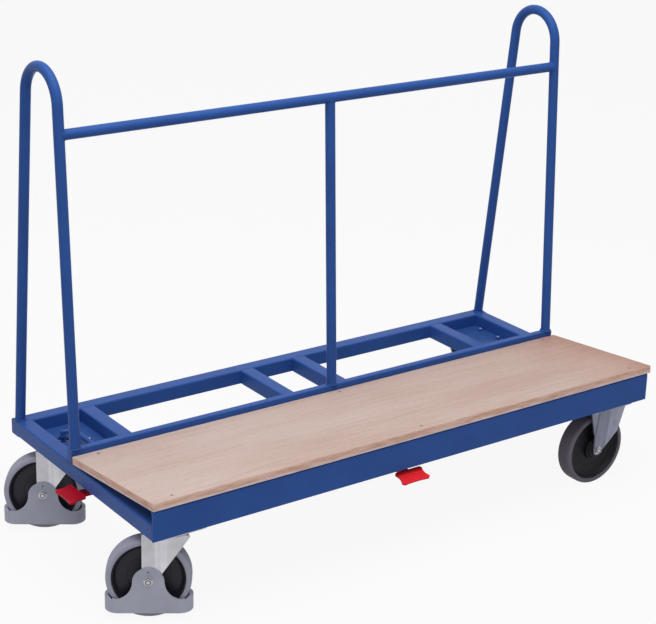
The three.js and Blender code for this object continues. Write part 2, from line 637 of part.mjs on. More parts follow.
// Fixed fork about its plate's middle: legs that stand straight beside the wheel and flare above it
function fixedFork() {
  const top = PLATE_BOTTOM + PLATE_THICKNESS / 2 - WHEEL_RADIUS;
  const outline = legOutline(
    [[-FIXED_FORK_TOP_BACK, top], [-FORK_FOOT_RADIUS, FIXED_FORK_BEND]],
    [[FIXED_FORK_BEND_LEAD, FIXED_FORK_BEND], [FIXED_FORK_TOP_LEAD, top]],
  );
  const blank = alongY(outline, PLATE_WIDTH, CURVE_STEPS).translate(-FIXED_FORK_OFFSET, 0, WHEEL_RADIUS);
  const bend = WHEEL_RADIUS + FIXED_FORK_BEND;
  const section = [
    [LEG_INSIDE, 0],
    [LEG_OUTSIDE, 0],
    [LEG_OUTSIDE, bend],
    [LEG_OUTSIDE + FIXED_FORK_FLARE, PLATE_TOP],
    [LEG_INSIDE + FIXED_FORK_FLARE, PLATE_TOP],
    [LEG_INSIDE, bend],
  ];
  const legs = [-1, 1].map((way) => {
    const sheet = alongX(polygon(section.map(([across, up]) => [way * across, up])), 2 * PLATE_LENGTH);
    return solid(sheet).intersect(solid(blank));
  });
  const whole = legs.reduce((fork, leg) => fork.add(leg), topPlate());
  return surface(whole.subtract(axleBore([-FIXED_FORK_OFFSET, 0, WHEEL_RADIUS])));
}

// Pads: plates welded across the end bays for the casters' bolts, open over the swivel casters' plungers.
// The rear ones reach back to the rear rail
const bayLength = OUTER_CROSS_INSET - RAIL_SIDE - RAIL_SIDE / 2 - 2 * FIT;

function casterPad(front, rear) {
  return block([0, front, 0], [bayLength, rear, PAD_THICKNESS]);
}

function openPad(front, rear, place) {
  const hole = barZ(PAD_HOLE / 2, -PAD_THICKNESS, 2 * PAD_THICKNESS);
  hole.translate(SWIVEL_INSET - RAIL_SIDE - FIT, place, 0);
  return surface(solid(casterPad(front, rear)).subtract(solid(hole)));
}

function pads(row, place) {
  const front = Math.max(place - PAD_WIDTH / 2, sideRailFront);
  const rear = place > sideRailMiddle ? sideRailRear : place + PAD_WIDTH / 2;
  const leftEnd = RAIL_SIDE + FIT - END_FACE;
  const rightEnd = OUTER_CROSS_PLACE + RAIL_SIDE / 2 + FIT;
  piece(cart, `${row}_left_pad`, openPad(front, rear, place), 'paint', [leftEnd, 0, FRAME_BOTTOM]);
  piece(cart, `${row}_right_pad`, casterPad(front, rear), 'paint', [rightEnd, 0, FRAME_BOTTOM]);
}

function swivelCaster(row, place) {
  const caster = new THREE.Group();
  caster.position.set(SWIVEL_PLACE, place, 0);
  piece(caster, `${row}_swivel_plate`, swivelPlate(), 'zinc');
  piece(caster, `${row}_kingpin`, kingpin(), 'zinc');
  const turntable = new THREE.Group();
  turntable.rotation.z = radians(SWIVEL_YAW);
  piece(turntable, `${row}_swivel_fork`, swivelFork(), 'zinc');
  piece(turntable, `${row}_brake_plunger`, brakePlunger(), 'zinc');
  const wheelGroup = new THREE.Group();
  wheelGroup.position.set(-SWIVEL_TRAIL, 0, WHEEL_RADIUS);
  piece(wheelGroup, `${row}_wheel_guard`, guard(), 'guard');
  wheel(wheelGroup, `${row}_swivel`, GUARD_OUTSIDE, 'swivelTyre');
  turntable.add(wheelGroup);
  caster.add(turntable);
  cart.add(caster);
}

function fixedCaster(row, place) {
  const caster = new THREE.Group();
  caster.position.set(FIXED_PLACE, place, 0);
  piece(caster, `${row}_fixed_fork`, fixedFork(), 'zinc');
  const wheelGroup = new THREE.Group();
  wheelGroup.position.set(-FIXED_FORK_OFFSET, 0, WHEEL_RADIUS);
  wheel(wheelGroup, `${row}_fixed`, LEG_OUTSIDE, 'fixedTyre');
  caster.add(wheelGroup);
  cart.add(caster);
}

Object.entries(CASTER_ROWS).forEach(([row, place]) => {
  pads(row, place);
  swivelCaster(row, place);
  fixedCaster(row, place);
});

// A brake arm in X and Z at a place along Y: a flat bar from the shaft's axis to a round knob
function brakeArm(across, up, place) {
  const length = Math.hypot(across, up);
  const bar = block([0, -ARM_WIDTH / 2, -ARM_DEPTH / 2], [length, ARM_WIDTH / 2, ARM_DEPTH / 2]);
  bar.rotateY(-Math.atan2(up, across)).translate(0, place, 0);
  const knob = barY(KNOB_RADIUS, -ARM_WIDTH / 2, ARM_WIDTH / 2).translate(across, place, up);
  return solid(bar).add(solid(knob));
}

// Cross shaft: its fingers press both plungers, and its link arm is lifted by the long shaft's finger
function crossShaft() {
  const shaft = barY(SHAFT_RADIUS, CASTER_ROWS.front - SHAFT_OVERHANG, CASTER_ROWS.rear + SHAFT_OVERHANG);
  const fingers = Object.values(CASTER_ROWS).map((place) => brakeArm(-FINGER_LENGTH, 0, place));
  const link = brakeArm(LINK_LENGTH, KNOB_RISE, LONG_SHAFT_PLACE + LINK_LENGTH);
  return surface([...fingers, link].reduce((whole, arm) => whole.add(arm), solid(shaft)));
}

// Long shaft: drawn along Y and turned into the cart's length, with its finger under the cross shaft's arm
function longShaft() {
  const pedalEnd = SIDE_PEDAL_PLACE + PEDAL_ARM_WIDTH / 2 + SHAFT_OVERHANG;
  const shaft = barY(SHAFT_RADIUS, -pedalEnd, SHAFT_OVERHANG - LINK_END);
  return surface(solid(shaft).add(brakeArm(LINK_LENGTH, -KNOB_RISE, -LINK_END))).rotateZ(Math.PI / 2);
}

// A tread's outline, outward along X: a waisted plate with a rounded outer edge
function treadOutline() {
  const neck = TREAD_NECK / 2;
  const width = TREAD_WIDTH / 2;
  const pull = TREAD_WAIST - (neck + width) / 2;
  const straight = TREAD_LENGTH - TREAD_CORNER;
  const outline = new THREE.Shape();
  outline.moveTo(0, -neck);
  outline.quadraticCurveTo(straight / 2, -pull, straight, -width);
  outline.quadraticCurveTo(TREAD_LENGTH, -width, TREAD_LENGTH, TREAD_CORNER - width);
  outline.lineTo(TREAD_LENGTH, width - TREAD_CORNER);
  outline.quadraticCurveTo(TREAD_LENGTH, width, straight, width);
  outline.quadraticCurveTo(straight / 2, pull, 0, neck);
  return outline;
}

// Pedal about its shaft, outward along X: a hub, an arm that goes down and out under the frame, and a tread
function pedal(frameReach, overhang, drop, lean) {
  const slope = radians(lean);
  const treadStart = frameReach + overhang - TREAD_LENGTH * Math.cos(slope);
  const treadTop = FRAME_BOTTOM - drop - BRAKE_HEIGHT;
  const tread = alongZ(treadOutline(), TREAD_THICKNESS, CURVE_STEPS).translate(0, 0, -TREAD_THICKNESS);
  tread.rotateY(slope).translate(treadStart, 0, treadTop);
  const armTop = treadTop - TREAD_THICKNESS;
  const armBottom = armTop - PEDAL_ARM_DEPTH;
  const armEnd = treadStart + TREAD_LENGTH / 2;
  const armEndTop = treadTop - TREAD_THICKNESS / 2 - TREAD_LENGTH / 2 * Math.tan(slope);
  const half = PEDAL_HUB_DIAMETER / 2;
  const arm = polygon([
    [-half, 0],
    [-half, armBottom],
    [armEnd, armEndTop - PEDAL_ARM_DEPTH],
    [armEnd, armEndTop],
    [half, armTop],
    [half, 0],
  ]);
  const hubBarrel = barY(half, -PEDAL_ARM_WIDTH / 2, PEDAL_ARM_WIDTH / 2);
  const bore = barY(SHAFT_RADIUS + FIT, -PEDAL_ARM_WIDTH, PEDAL_ARM_WIDTH);
  const whole = solid(alongY(arm, PEDAL_ARM_WIDTH)).add(solid(hubBarrel)).add(solid(tread));
  return surface(whole.subtract(solid(bore)));
}

const endReach = CROSS_SHAFT_PLACE + END_FACE;
const endPedal = pedal(endReach, END_PEDAL_OVERHANG, END_PEDAL_DROP, END_PEDAL_SLOPE).rotateZ(Math.PI);
const sidePedal = pedal(LONG_SHAFT_INSET, SIDE_PEDAL_OVERHANG, SIDE_PEDAL_DROP, SIDE_PEDAL_SLOPE);
sidePedal.rotateZ(-Math.PI / 2);
piece(cart, 'brake_cross_shaft', crossShaft(), 'paint', [CROSS_SHAFT_PLACE, 0, BRAKE_HEIGHT]);
piece(cart, 'end_pedal', endPedal, 'pedal', [CROSS_SHAFT_PLACE, END_PEDAL_PLACE, BRAKE_HEIGHT]);
piece(cart, 'brake_long_shaft', longShaft(), 'paint', [0, LONG_SHAFT_PLACE, BRAKE_HEIGHT]);
piece(cart, 'side_pedal', sidePedal, 'pedal', [SIDE_PEDAL_PLACE, LONG_SHAFT_PLACE, BRAKE_HEIGHT]);

// Bearings: plates on the left end rail that carry the cross shaft
function bearing() {
  const margin = SHAFT_BORE + BEARING_MARGIN;
  const reach = CROSS_SHAFT_PLACE + END_FACE - RAIL_SIDE - FIT;
  const plate = block([-reach, -BEARING_SHEET / 2, -margin], [margin, BEARING_SHEET / 2, margin]);
  return surface(solid(plate).subtract(solid(barY(SHAFT_BORE, -BEARING_SHEET, BEARING_SHEET))));
}

[['front', FRONT_BEARING_PLACE], ['rear', REAR_BEARING_PLACE]].forEach(([row, place]) => {
  piece(cart, `${row}_shaft_bearing`, bearing(), 'paint', [CROSS_SHAFT_PLACE, place, BRAKE_HEIGHT]);
});

// The origin is on the floor, under the middle of the whole cart
const box = new THREE.Box3().setFromObject(cart, true);
const boxMiddle = box.getCenter(new THREE.Vector3());
cart.position.set(-boxMiddle.x, -boxMiddle.y, -box.min.z);
const sheetGoodsCart = new THREE.Group();
sheetGoodsCart.add(cart);

export default sheetGoodsCart;
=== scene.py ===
import json
import math

import bmesh
import bpy
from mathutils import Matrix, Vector


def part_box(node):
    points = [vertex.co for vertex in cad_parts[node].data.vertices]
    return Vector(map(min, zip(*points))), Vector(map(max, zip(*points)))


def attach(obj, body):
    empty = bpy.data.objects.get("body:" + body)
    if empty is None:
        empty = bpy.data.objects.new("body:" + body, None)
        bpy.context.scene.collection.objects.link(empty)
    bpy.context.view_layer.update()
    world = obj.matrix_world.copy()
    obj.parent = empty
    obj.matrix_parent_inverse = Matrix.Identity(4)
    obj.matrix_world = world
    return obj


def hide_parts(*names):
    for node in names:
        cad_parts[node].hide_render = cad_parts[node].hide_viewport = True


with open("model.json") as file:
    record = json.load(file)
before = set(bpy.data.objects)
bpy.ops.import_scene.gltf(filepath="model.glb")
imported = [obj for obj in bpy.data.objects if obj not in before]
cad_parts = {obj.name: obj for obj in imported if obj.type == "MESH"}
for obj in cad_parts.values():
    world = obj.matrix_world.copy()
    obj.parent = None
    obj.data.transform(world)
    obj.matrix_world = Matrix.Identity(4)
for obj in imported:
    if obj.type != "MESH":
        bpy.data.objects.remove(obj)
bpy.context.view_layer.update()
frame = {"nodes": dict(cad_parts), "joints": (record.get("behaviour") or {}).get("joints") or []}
pivots = {joint["name"]: Vector(joint["pos_m"]) for joint in frame["joints"] if "pos_m" in joint}


# Base rails: 40 mm square hollow section with 2.5 mm walls, sawn to length and butted for welding.
# The two left cross rails are bored for the brake's long shaft. The base is powder-coated blue as one
# piece with all that is welded to it.
def alone(piece):
    bpy.ops.object.select_all(action="DESELECT")
    piece.select_set(True)
    bpy.context.view_layer.objects.active = piece


def placed(name):
    piece = bpy.context.object
    piece.name = piece.data.name = name
    bpy.ops.object.transform_apply(location=True, rotation=True, scale=True)
    return piece


def block(name, low, high):
    bpy.ops.object.select_all(action="DESELECT")
    low, high = Vector(low), Vector(high)
    bpy.ops.mesh.primitive_cube_add(size=1, location=(low + high) / 2, scale=high - low)
    return placed(name)


def rod(name, radius, start, end, sides=40, ends="NGON"):
    bpy.ops.object.select_all(action="DESELECT")
    start, end = Vector(start), Vector(end)
    along = end - start
    bpy.ops.mesh.primitive_cylinder_add(
        vertices=sides, radius=radius, depth=along.length, end_fill_type=ends,
        location=(start + end) / 2, rotation=along.to_track_quat("Z", "Y").to_euler())
    return placed(name)


def pick(piece, kind, test):
    bpy.ops.mesh.select_mode(type=kind)
    bpy.ops.mesh.select_all(action="DESELECT")
    mesh = bmesh.from_edit_mesh(piece.data)
    for part in {"VERT": mesh.verts, "EDGE": mesh.edges, "FACE": mesh.faces}[kind]:
        if test(part):
            part.select_set(True)
    mesh.select_flush_mode()
    bmesh.update_edit_mesh(piece.data)


def settle(piece, kind, **settings):
    alone(piece)
    step = piece.modifiers.new(kind.lower(), kind)
    for name, value in settings.items():
        setattr(step, name, value)
    bpy.ops.object.modifier_apply(modifier=step.name)


def cut(piece, tool, way="DIFFERENCE"):
    settle(piece, "BOOLEAN", operation=way, object=tool, solver="EXACT")
    bpy.data.objects.remove(tool)


def smooth(piece, angle=35):
    alone(piece)
    bpy.ops.object.shade_smooth_by_angle(angle=math.radians(angle))
    settle(piece, "WEIGHTED_NORMAL", keep_sharp=True)


def box_tube(name, low, high, along, corner, wall):
    tube = block(name, low, high)
    bpy.ops.object.mode_set(mode="EDIT")
    pick(tube, "EDGE", lambda edge: abs((edge.verts[1].co - edge.verts[0].co)[along]) > corner)
    bpy.ops.mesh.bevel(offset=corner, segments=5, affect="EDGES")
    pick(tube, "FACE", lambda face: abs(face.normal[along]) > 0.9)
    bpy.ops.mesh.delete(type="FACE")
    bpy.ops.object.mode_set(mode="OBJECT")
    settle(tube, "SOLIDIFY", thickness=wall, offset=-1)
    return tube


def tone(red, green, blue, share=1.0):
    return tuple(share * ((part / 255 + 0.055) / 1.055) ** 2.4 for part in (red, green, blue)) + (1.0,)


def new_finish(name, roughness, metallic=0.0):
    finish = bpy.data.materials.new(name)
    finish.use_nodes = True
    shader = finish.node_tree.nodes["Principled BSDF"]
    shader.inputs["Roughness"].default_value = roughness
    shader.inputs["Metallic"].default_value = metallic
    return finish, shader


def node(finish, kind, **sockets):
    made = finish.node_tree.nodes.new(kind)
    for name, value in sockets.items():
        socket = made.inputs[name.replace("_", " ")]
        if isinstance(value, bpy.types.NodeSocket):
            finish.node_tree.links.new(value, socket)
        else:
            socket.default_value = value
    return made


def on_piece(finish, turn=(0, 0, 0), stretch=(1, 1, 1)):
    place = node(finish, "ShaderNodeTexCoord").outputs["Object"]
    return node(finish, "ShaderNodeMapping", Vector=place, Rotation=turn, Scale=stretch).outputs[0]


def mottle(finish, place, scale, detail=2.0):
    return node(finish, "ShaderNodeTexNoise", Vector=place, Scale=scale, Detail=detail).outputs[0]


def shaded(finish, amount, *stops):
    ramp = node(finish, "ShaderNodeValToRGB", Fac=amount)
    ramp.color_ramp.elements[0].position, ramp.color_ramp.elements[0].color = stops[0]
    ramp.color_ramp.elements[1].position, ramp.color_ramp.elements[1].color = stops[-1]
    for position, colour in stops[1:-1]:
        ramp.color_ramp.elements.new(position).color = colour
    return ramp.outputs[0]


def spread(finish, amount, low, high):
    return node(finish, "ShaderNodeMapRange", Value=amount, To_Min=low, To_Max=high).outputs[0]


def wire(finish, shader, **sockets):
    for name, value in sockets.items():
        finish.node_tree.links.new(value, shader.inputs[name.replace("_", " ")])


def relief(finish, shader, height, strength, depth):
    bump = node(finish, "ShaderNodeBump", Height=height, Strength=strength, Distance=depth)
    wire(finish, shader, Normal=bump.outputs[0])


def powder_coat(name, red, green, blue):
    coat, shader = new_finish(name, 0.4)
    shader.inputs["Specular IOR Level"].default_value = 0.1
    place = on_piece(coat)
    cloud = mottle(coat, place, 6, 4)
    wire(coat, shader,
         Base_Color=shaded(coat, cloud, (0.3, tone(red, green, blue, 0.92)), (0.7, tone(red, green, blue, 1.08))),
         Roughness=spread(coat, mottle(coat, place, 45, 3), 0.28, 0.44))
    relief(coat, shader, mottle(coat, place, 620), 0.18, 0.0003)
    return coat


def dress(piece, finish, body, slot, *nodes):
    piece.data.materials.clear()
    piece.data.materials.append(finish)
    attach(piece, body)
    if nodes:
        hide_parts(*nodes)


blue_coat = powder_coat("blue_powder_coat", 50, 89, 163)
long_shaft = pivots["side_pedal_press"]
for rail in ("rear_rail", "left_end_rail", "left_outer_cross_rail", "left_inner_cross_rail",
             "right_end_rail", "right_outer_cross_rail", "right_inner_cross_rail"):
    low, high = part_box(rail)
    tube = box_tube(rail + "_tube", low, high, 0 if rail == "rear_rail" else 1, 0.004, 0.0025)
    if rail.startswith("left") and rail.endswith("cross_rail"):
        cut(tube, rod("drill", 0.0075, (low.x - 0.01, *long_shaft.yz), (high.x + 0.01, *long_shaft.yz)))
    smooth(tube)
    dress(tube, blue_coat, "cart", "blue_paint", rail)

# Stop rail: a 20 by 35 mm box section welded on edge across the rails, behind the deck. The feet of the
# sheets meet it.
low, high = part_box("stop_rail")
stop_tube = box_tube("stop_rail_tube", low, high, 0, 0.003, 0.002)
smooth(stop_tube)
dress(stop_tube, blue_coat, "cart", "blue_paint", "stop_rail")


# End caps: 3 mm plates welded over the open ends of the rear rail and the stop rail and ground flush.
def plate(name, low, high, across, corner, edge):
    sheet = block(name, low, high)
    bpy.ops.object.mode_set(mode="EDIT")
    pick(sheet, "EDGE", lambda side: abs((side.verts[1].co - side.verts[0].co)[across]) > 1e-5)
    bpy.ops.mesh.bevel(offset=corner, segments=6, affect="EDGES")
    pick(sheet, "FACE", lambda face: abs(face.normal[across]) > 0.9)
    bpy.ops.mesh.region_to_loop()
    bpy.ops.mesh.bevel(offset=edge, segments=3, affect="EDGES")
    bpy.ops.object.mode_set(mode="OBJECT")
    return sheet


for end in ("left", "right"):
    for rail, corner in (("rear_rail", 0.004), ("stop_rail", 0.003)):
        cap = plate(f"{rail}_{end}_end", *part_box(f"{rail}_{end}_cap"), 0, corner, 0.0005)
        smooth(cap)
        dress(cap, blue_coat, "cart", "blue_paint", f"{rail}_{end}_cap")


# Front beam: 5 mm steel sheet, folded in along the top to carry the deck's front edge on its slope. The fold is
# cut back at both ends.
def traced(name, points, closed=True):
    bpy.ops.object.select_all(action="DESELECT")
    bpy.ops.mesh.primitive_plane_add(size=0.01)
    piece = placed(name)
    points = [Vector(point) for point in points]
    bpy.ops.object.mode_set(mode="EDIT")
    bpy.ops.mesh.select_mode(type="VERT")
    bpy.ops.mesh.select_all(action="SELECT")
    bpy.ops.mesh.merge(type="CENTER")
    bpy.ops.transform.translate(value=points[0])
    for start, end in zip(points, points[1:]):
        bpy.ops.mesh.extrude_vertices_move(TRANSFORM_OT_translate={"value": end - start})
    bpy.ops.mesh.select_all(action="SELECT")
    if closed:
        bpy.ops.mesh.edge_face_add()
    return piece


def drawn_out(way):
    bpy.ops.mesh.extrude_region_move(TRANSFORM_OT_translate={"value": way})


DECK_SLOPE = math.asin(0.036 / 0.383)
low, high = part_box("front_beam")
flange = low.y + 0.032
beam = traced("front_beam_sheet", [
    (low.x, low.y, low.z),
    (low.x, low.y, high.z),
    (low.x, flange, high.z - 0.032 * math.tan(DECK_SLOPE)),
], closed=False)
for step in (0.04, high.x - low.x - 0.08, 0.04):
    drawn_out((step, 0, 0))
pick(beam, "EDGE", lambda edge: all(vert.co.z > high.z - 1e-4 for vert in edge.verts)
     and abs(edge.verts[0].co.x - edge.verts[1].co.x) > 0.01)
bpy.ops.mesh.bevel(offset=0.007, segments=6, affect="EDGES")
pick(beam, "FACE", lambda face: face.calc_center_median().y > low.y + 0.008
     and not low.x + 0.04 < face.calc_center_median().x < high.x - 0.04)
bpy.ops.mesh.delete(type="FACE")
bpy.ops.object.mode_set(mode="OBJECT")
settle(beam, "SOLIDIFY", thickness=0.005, offset=1, use_even_offset=True)
settle(beam, "BEVEL", width=0.0006, segments=2, limit_method="ANGLE", angle_limit=math.radians(50))
smooth(beam)
dress(beam, blue_coat, "cart", "blue_paint", "front_beam")

# Caster pads: 6 mm plates welded level across the end bays, in a darker copy of the blue that is painted shade for the
# deep bays. Those over the swivel casters are open in the middle for the brake plungers.
bay_shade_coat = powder_coat("bay_shade_blue_powder_coat", 50, 84, 148)
for row in ("front", "rear"):
    for end in ("left", "right"):
        pad = plate(f"{row}_{end}_caster_pad", *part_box(f"{row}_{end}_pad"), 2, 0.002, 0.0006)
        if end == "left":
            middle = pivots[f"{row}_swivel_turn"]
            cut(pad, rod("drill", 0.016, (*middle.xy, 0.2), (*middle.xy, 0.3)))
        smooth(pad)
        dress(pad, bay_shade_coat, "cart", "blue_paint", f"{row}_{end}_pad")

# Hoops: 26 mm tube bent over in one piece. Each stands with one leg on the stop rail and one on the rear rail,
# and the feet are sawn level.
TUBE = 0.013
FRONT_LEAN = math.radians(3.1)
REAR_LEAN = math.radians(6)
front_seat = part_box("stop_rail")[1].z + 0.0003
rear_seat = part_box("rear_rail")[1].z + 0.0003
front_line = sum(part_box("stop_rail"), Vector()).y / 2
rear_line = sum(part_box("rear_rail"), Vector()).y / 2
front_way = Vector((0, math.sin(FRONT_LEAN), math.cos(FRONT_LEAN)))
rear_way = Vector((0, math.sin(REAR_LEAN), -math.cos(REAR_LEAN)))
for end in ("left", "right"):
    low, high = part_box(end + "_hoop")
    across = (low.x + high.x) / 2
    crest = 1.221 - TUBE
    front_share = (1 - math.sin(FRONT_LEAN)) / math.cos(FRONT_LEAN)
    rear_share = (1 - math.sin(REAR_LEAN)) / math.cos(REAR_LEAN)
    front_reach = (crest - front_seat) * math.tan(FRONT_LEAN)
    rear_reach = (crest - rear_seat) * math.tan(REAR_LEAN)
    radius = (rear_line - front_line - front_reach - rear_reach) / (front_share + rear_share)
    bend = Vector((across, front_line + front_reach + radius * front_share, crest - radius))
    front_foot = Vector((across, front_line, front_seat))
    front_top = bend + radius * Vector((0, -math.cos(FRONT_LEAN), math.sin(FRONT_LEAN)))
    rear_top = bend + radius * Vector((0, math.cos(REAR_LEAN), math.sin(REAR_LEAN)))
    rear_foot = Vector((across, rear_line, rear_seat))
    bpy.ops.object.select_all(action="DESELECT")
    bpy.ops.mesh.primitive_circle_add(vertices=40, radius=TUBE, location=front_foot, rotation=(-FRONT_LEAN, 0, 0))
    hoop = placed(end + "_hoop_tube")
    bpy.ops.object.mode_set(mode="EDIT")
    bpy.ops.mesh.select_all(action="SELECT")
    drawn_out(front_top - front_foot)
    bpy.ops.mesh.spin(steps=40, angle=math.pi - FRONT_LEAN - REAR_LEAN, center=bend, axis=(1, 0, 0))
    drawn_out(rear_foot - rear_top)
    for foot in (front_foot, rear_foot):
        pick(hoop, "VERT", lambda vert: (vert.co - foot).length < 2 * TUBE)
        bpy.ops.transform.resize(value=(1, 1, 0), center_override=foot)
    bpy.ops.mesh.select_all(action="SELECT")
    bpy.ops.mesh.remove_doubles(threshold=1e-6)
    bpy.ops.mesh.normals_make_consistent(inside=False)
    bpy.ops.object.mode_set(mode="OBJECT")
    settle(hoop, "SOLIDIFY", thickness=0.002, offset=-1)
    smooth(hoop)
    dress(hoop, blue_coat, "cart", "blue_paint", end + "_hoop")

# Top rail and centre post: the same tube, with the ends notched to sit round the tube that they meet.
# The post stands on the stop rail in the plane of the hoops' front legs.
low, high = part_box("top_rail")
rail_line = (low + high) / 2
legs = [sum(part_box(end + "_hoop"), Vector()).x / 2 for end in ("left", "right")]
top_tube = rod("top_rail_tube", TUBE, (legs[0], *rail_line.yz), (legs[1], *rail_line.yz), ends="NOTHING")
settle(top_tube, "SOLIDIFY", thickness=0.002, offset=-1)
for leg in legs:
    foot = Vector((leg, front_line, front_seat))
    cut(top_tube, rod("notch", TUBE + 0.0003, foot, foot + front_way * 0.9))
smooth(top_tube)
dress(top_tube, blue_coat, "cart", "blue_paint", "top_rail")

low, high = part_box("centre_post")
post_foot = Vector(((low.x + high.x) / 2, front_line, front_seat))
post_top = post_foot + front_way * (rail_line.z - front_seat) / math.cos(FRONT_LEAN)
post = rod("centre_post_tube", TUBE, post_foot - front_way * 0.02, post_top, ends="NOTHING")
settle(post, "SOLIDIFY", thickness=0.002, offset=-1)
cut(post, rod("notch", TUBE + 0.0003, post_top - Vector((0.05, 0, 0)), post_top + Vector((0.05, 0, 0))))
cut(post, block("saw", post_foot - Vector((0.05, 0.05, 0.1)), post_foot + Vector((0.05, 0.05, 0))))
smooth(post)
dress(post, blue_coat, "cart", "blue_paint", "centre_post")


# Weld beads: one run of weld round each tube end, a little uneven, under the same coat.
def weld_ring(name, radius, centre, turn, onto, axis, bead=0.0022):
    bpy.ops.object.select_all(action="DESELECT")
    bpy.ops.mesh.primitive_circle_add(vertices=72, radius=radius, location=centre, rotation=turn)
    ring = placed(name)
    if onto:
        settle(ring, "SHRINKWRAP", target=onto, wrap_method="PROJECT", use_negative_direction=True,
               use_positive_direction=True, **{f"use_project_{axis}": True})
    alone(ring)
    bpy.ops.object.convert(target="CURVE")
    ring.data.bevel_depth = bead
    ring.data.bevel_resolution = 2
    bpy.ops.object.convert(target="MESH")
    ring = bpy.context.object
    bpy.ops.object.mode_set(mode="EDIT")
    bpy.ops.mesh.select_all(action="SELECT")
    bpy.ops.mesh.remove_doubles(threshold=1e-6)
    bpy.ops.mesh.normals_make_consistent(inside=False)
    bpy.ops.object.mode_set(mode="OBJECT")
    ripple = bpy.data.textures.new(name, "CLOUDS")
    ripple.noise_scale = 0.004
    settle(ring, "DISPLACE", texture=ripple, texture_coords="LOCAL", strength=0.0014, mid_level=0.5)
    smooth(ring, 60)
    dress(ring, blue_coat, "cart", "blue_paint")


for end, leg in zip(("left", "right"), legs):
    weld_ring(f"{end}_front_foot_weld", TUBE + 0.0006, (leg, front_line, front_seat + 0.0006), (0, 0, 0), None, "z")
    weld_ring(f"{end}_rear_foot_weld", TUBE + 0.0006, (leg, rear_line, rear_seat + 0.0006), (0, 0, 0), None, "z")
    inward = 1 if end == "left" else -1
    weld_ring(f"{end}_top_rail_weld", TUBE - 0.0004, (leg + inward * 0.03, *rail_line.yz), (0, math.pi / 2, 0),
              bpy.data.objects[end + "_hoop_tube"], "x", 0.0018)
weld_ring("post_foot_weld", TUBE + 0.0006, post_foot + Vector((0, 0, 0.0006)), (0, 0, 0), None, "z")
weld_ring("post_top_weld", TUBE - 0.0004, (post_top.x, post_top.y, post_top.z - 0.03), (0, 0, 0), top_tube, "z", 0.0018)

# Deck board: 20 mm plywood, sanded and sealed, with its edges broken by hand, just proud of the beam. The faces
# show rotary-cut beech veneer with its grain along the cart, and the sawn edges show the crossed plies.
def layered(finish, colour, *layers):
    for layer in layers:
        over = node(finish, "ShaderNodeMix")
        over.data_type, over.blend_type = "RGBA", "MULTIPLY"
        over.inputs[0].default_value = 1
        finish.node_tree.links.new(colour, over.inputs[6])
        finish.node_tree.links.new(layer, over.inputs[7])
        colour = over.outputs[2]
    return colour


low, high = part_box("deck_board")
board_corner = Vector((low.x, low.y, high.z - 0.02 * math.cos(DECK_SLOPE)))
board = block("deck_plywood", (0, -0.0022, 0), (high.x - low.x, 0.383, 0.02))
settle(board, "BEVEL", width=0.0016, segments=3, limit_method="ANGLE")
board.location, board.rotation_euler.x = board_corner, -DECK_SLOPE
bpy.ops.object.transform_apply(location=True, rotation=True, scale=True)
smooth(board)

veneer, shader = new_finish("beech_veneer", 0.55)
shader.inputs["Specular IOR Level"].default_value = 0.25
grain = on_piece(veneer, (DECK_SLOPE, 0, 0), (6, 110, 110))
fleck = on_piece(veneer, (DECK_SLOPE, 0, 0), (60, 620, 620))
cloud = on_piece(veneer, (DECK_SLOPE, 0, 0), (0.9, 3.2, 3.2))
along = node(veneer, "ShaderNodeSeparateXYZ", Vector=on_piece(veneer)).outputs[0]
reach = node(veneer, "ShaderNodeMapRange", Value=along, From_Min=low.x, From_Max=high.x).outputs[0]
drift = node(veneer, "ShaderNodeMath", Value=spread(veneer, mottle(veneer, grain, 0.5, 3), -0.035, 0.035))
veneer.node_tree.links.new(reach, drift.inputs[1])
figure = shaded(veneer, mottle(veneer, grain, 1, 5), (0.3, tone(207, 182, 173)), (0.5, tone(212, 191, 183)),
                (0.7, tone(216, 197, 191)))
broad = shaded(veneer, mottle(veneer, cloud, 2.2, 3), (0.35, tone(246, 240, 236)), (0.65, tone(255, 255, 255)))
pores = shaded(veneer, mottle(veneer, fleck, 1, 2), (0.3, tone(234, 225, 220)), (0.42, tone(255, 255, 255)))
# The face is made darker and redder towards the right-hand end.
right_end_darkening = shaded(veneer, drift.outputs[0], (0.0, tone(255, 255, 255)), (0.35, tone(252, 250, 248)),
                (0.85, tone(248, 242, 238)), (0.94, tone(244, 230, 223)), (1.0, tone(225, 198, 185)))
wire(veneer, shader, Base_Color=layered(veneer, figure, broad, pores, right_end_darkening),
     Roughness=spread(veneer, mottle(veneer, grain, 3, 4), 0.48, 0.64))
relief(veneer, shader, mottle(veneer, fleck, 1, 3), 0.12, 0.0003)

plies, shader = new_finish("plywood_edge", 0.7)
shader.inputs["Specular IOR Level"].default_value = 0.2
across = on_piece(plies, (DECK_SLOPE, 0, 0))
depth = node(plies, "ShaderNodeSeparateXYZ", Vector=across).outputs[2]
bottom = math.cos(DECK_SLOPE) * board_corner.z + math.sin(DECK_SLOPE) * board_corner.y
share = node(plies, "ShaderNodeMapRange", Value=depth, From_Min=bottom, From_Max=bottom + 0.02).outputs[0]
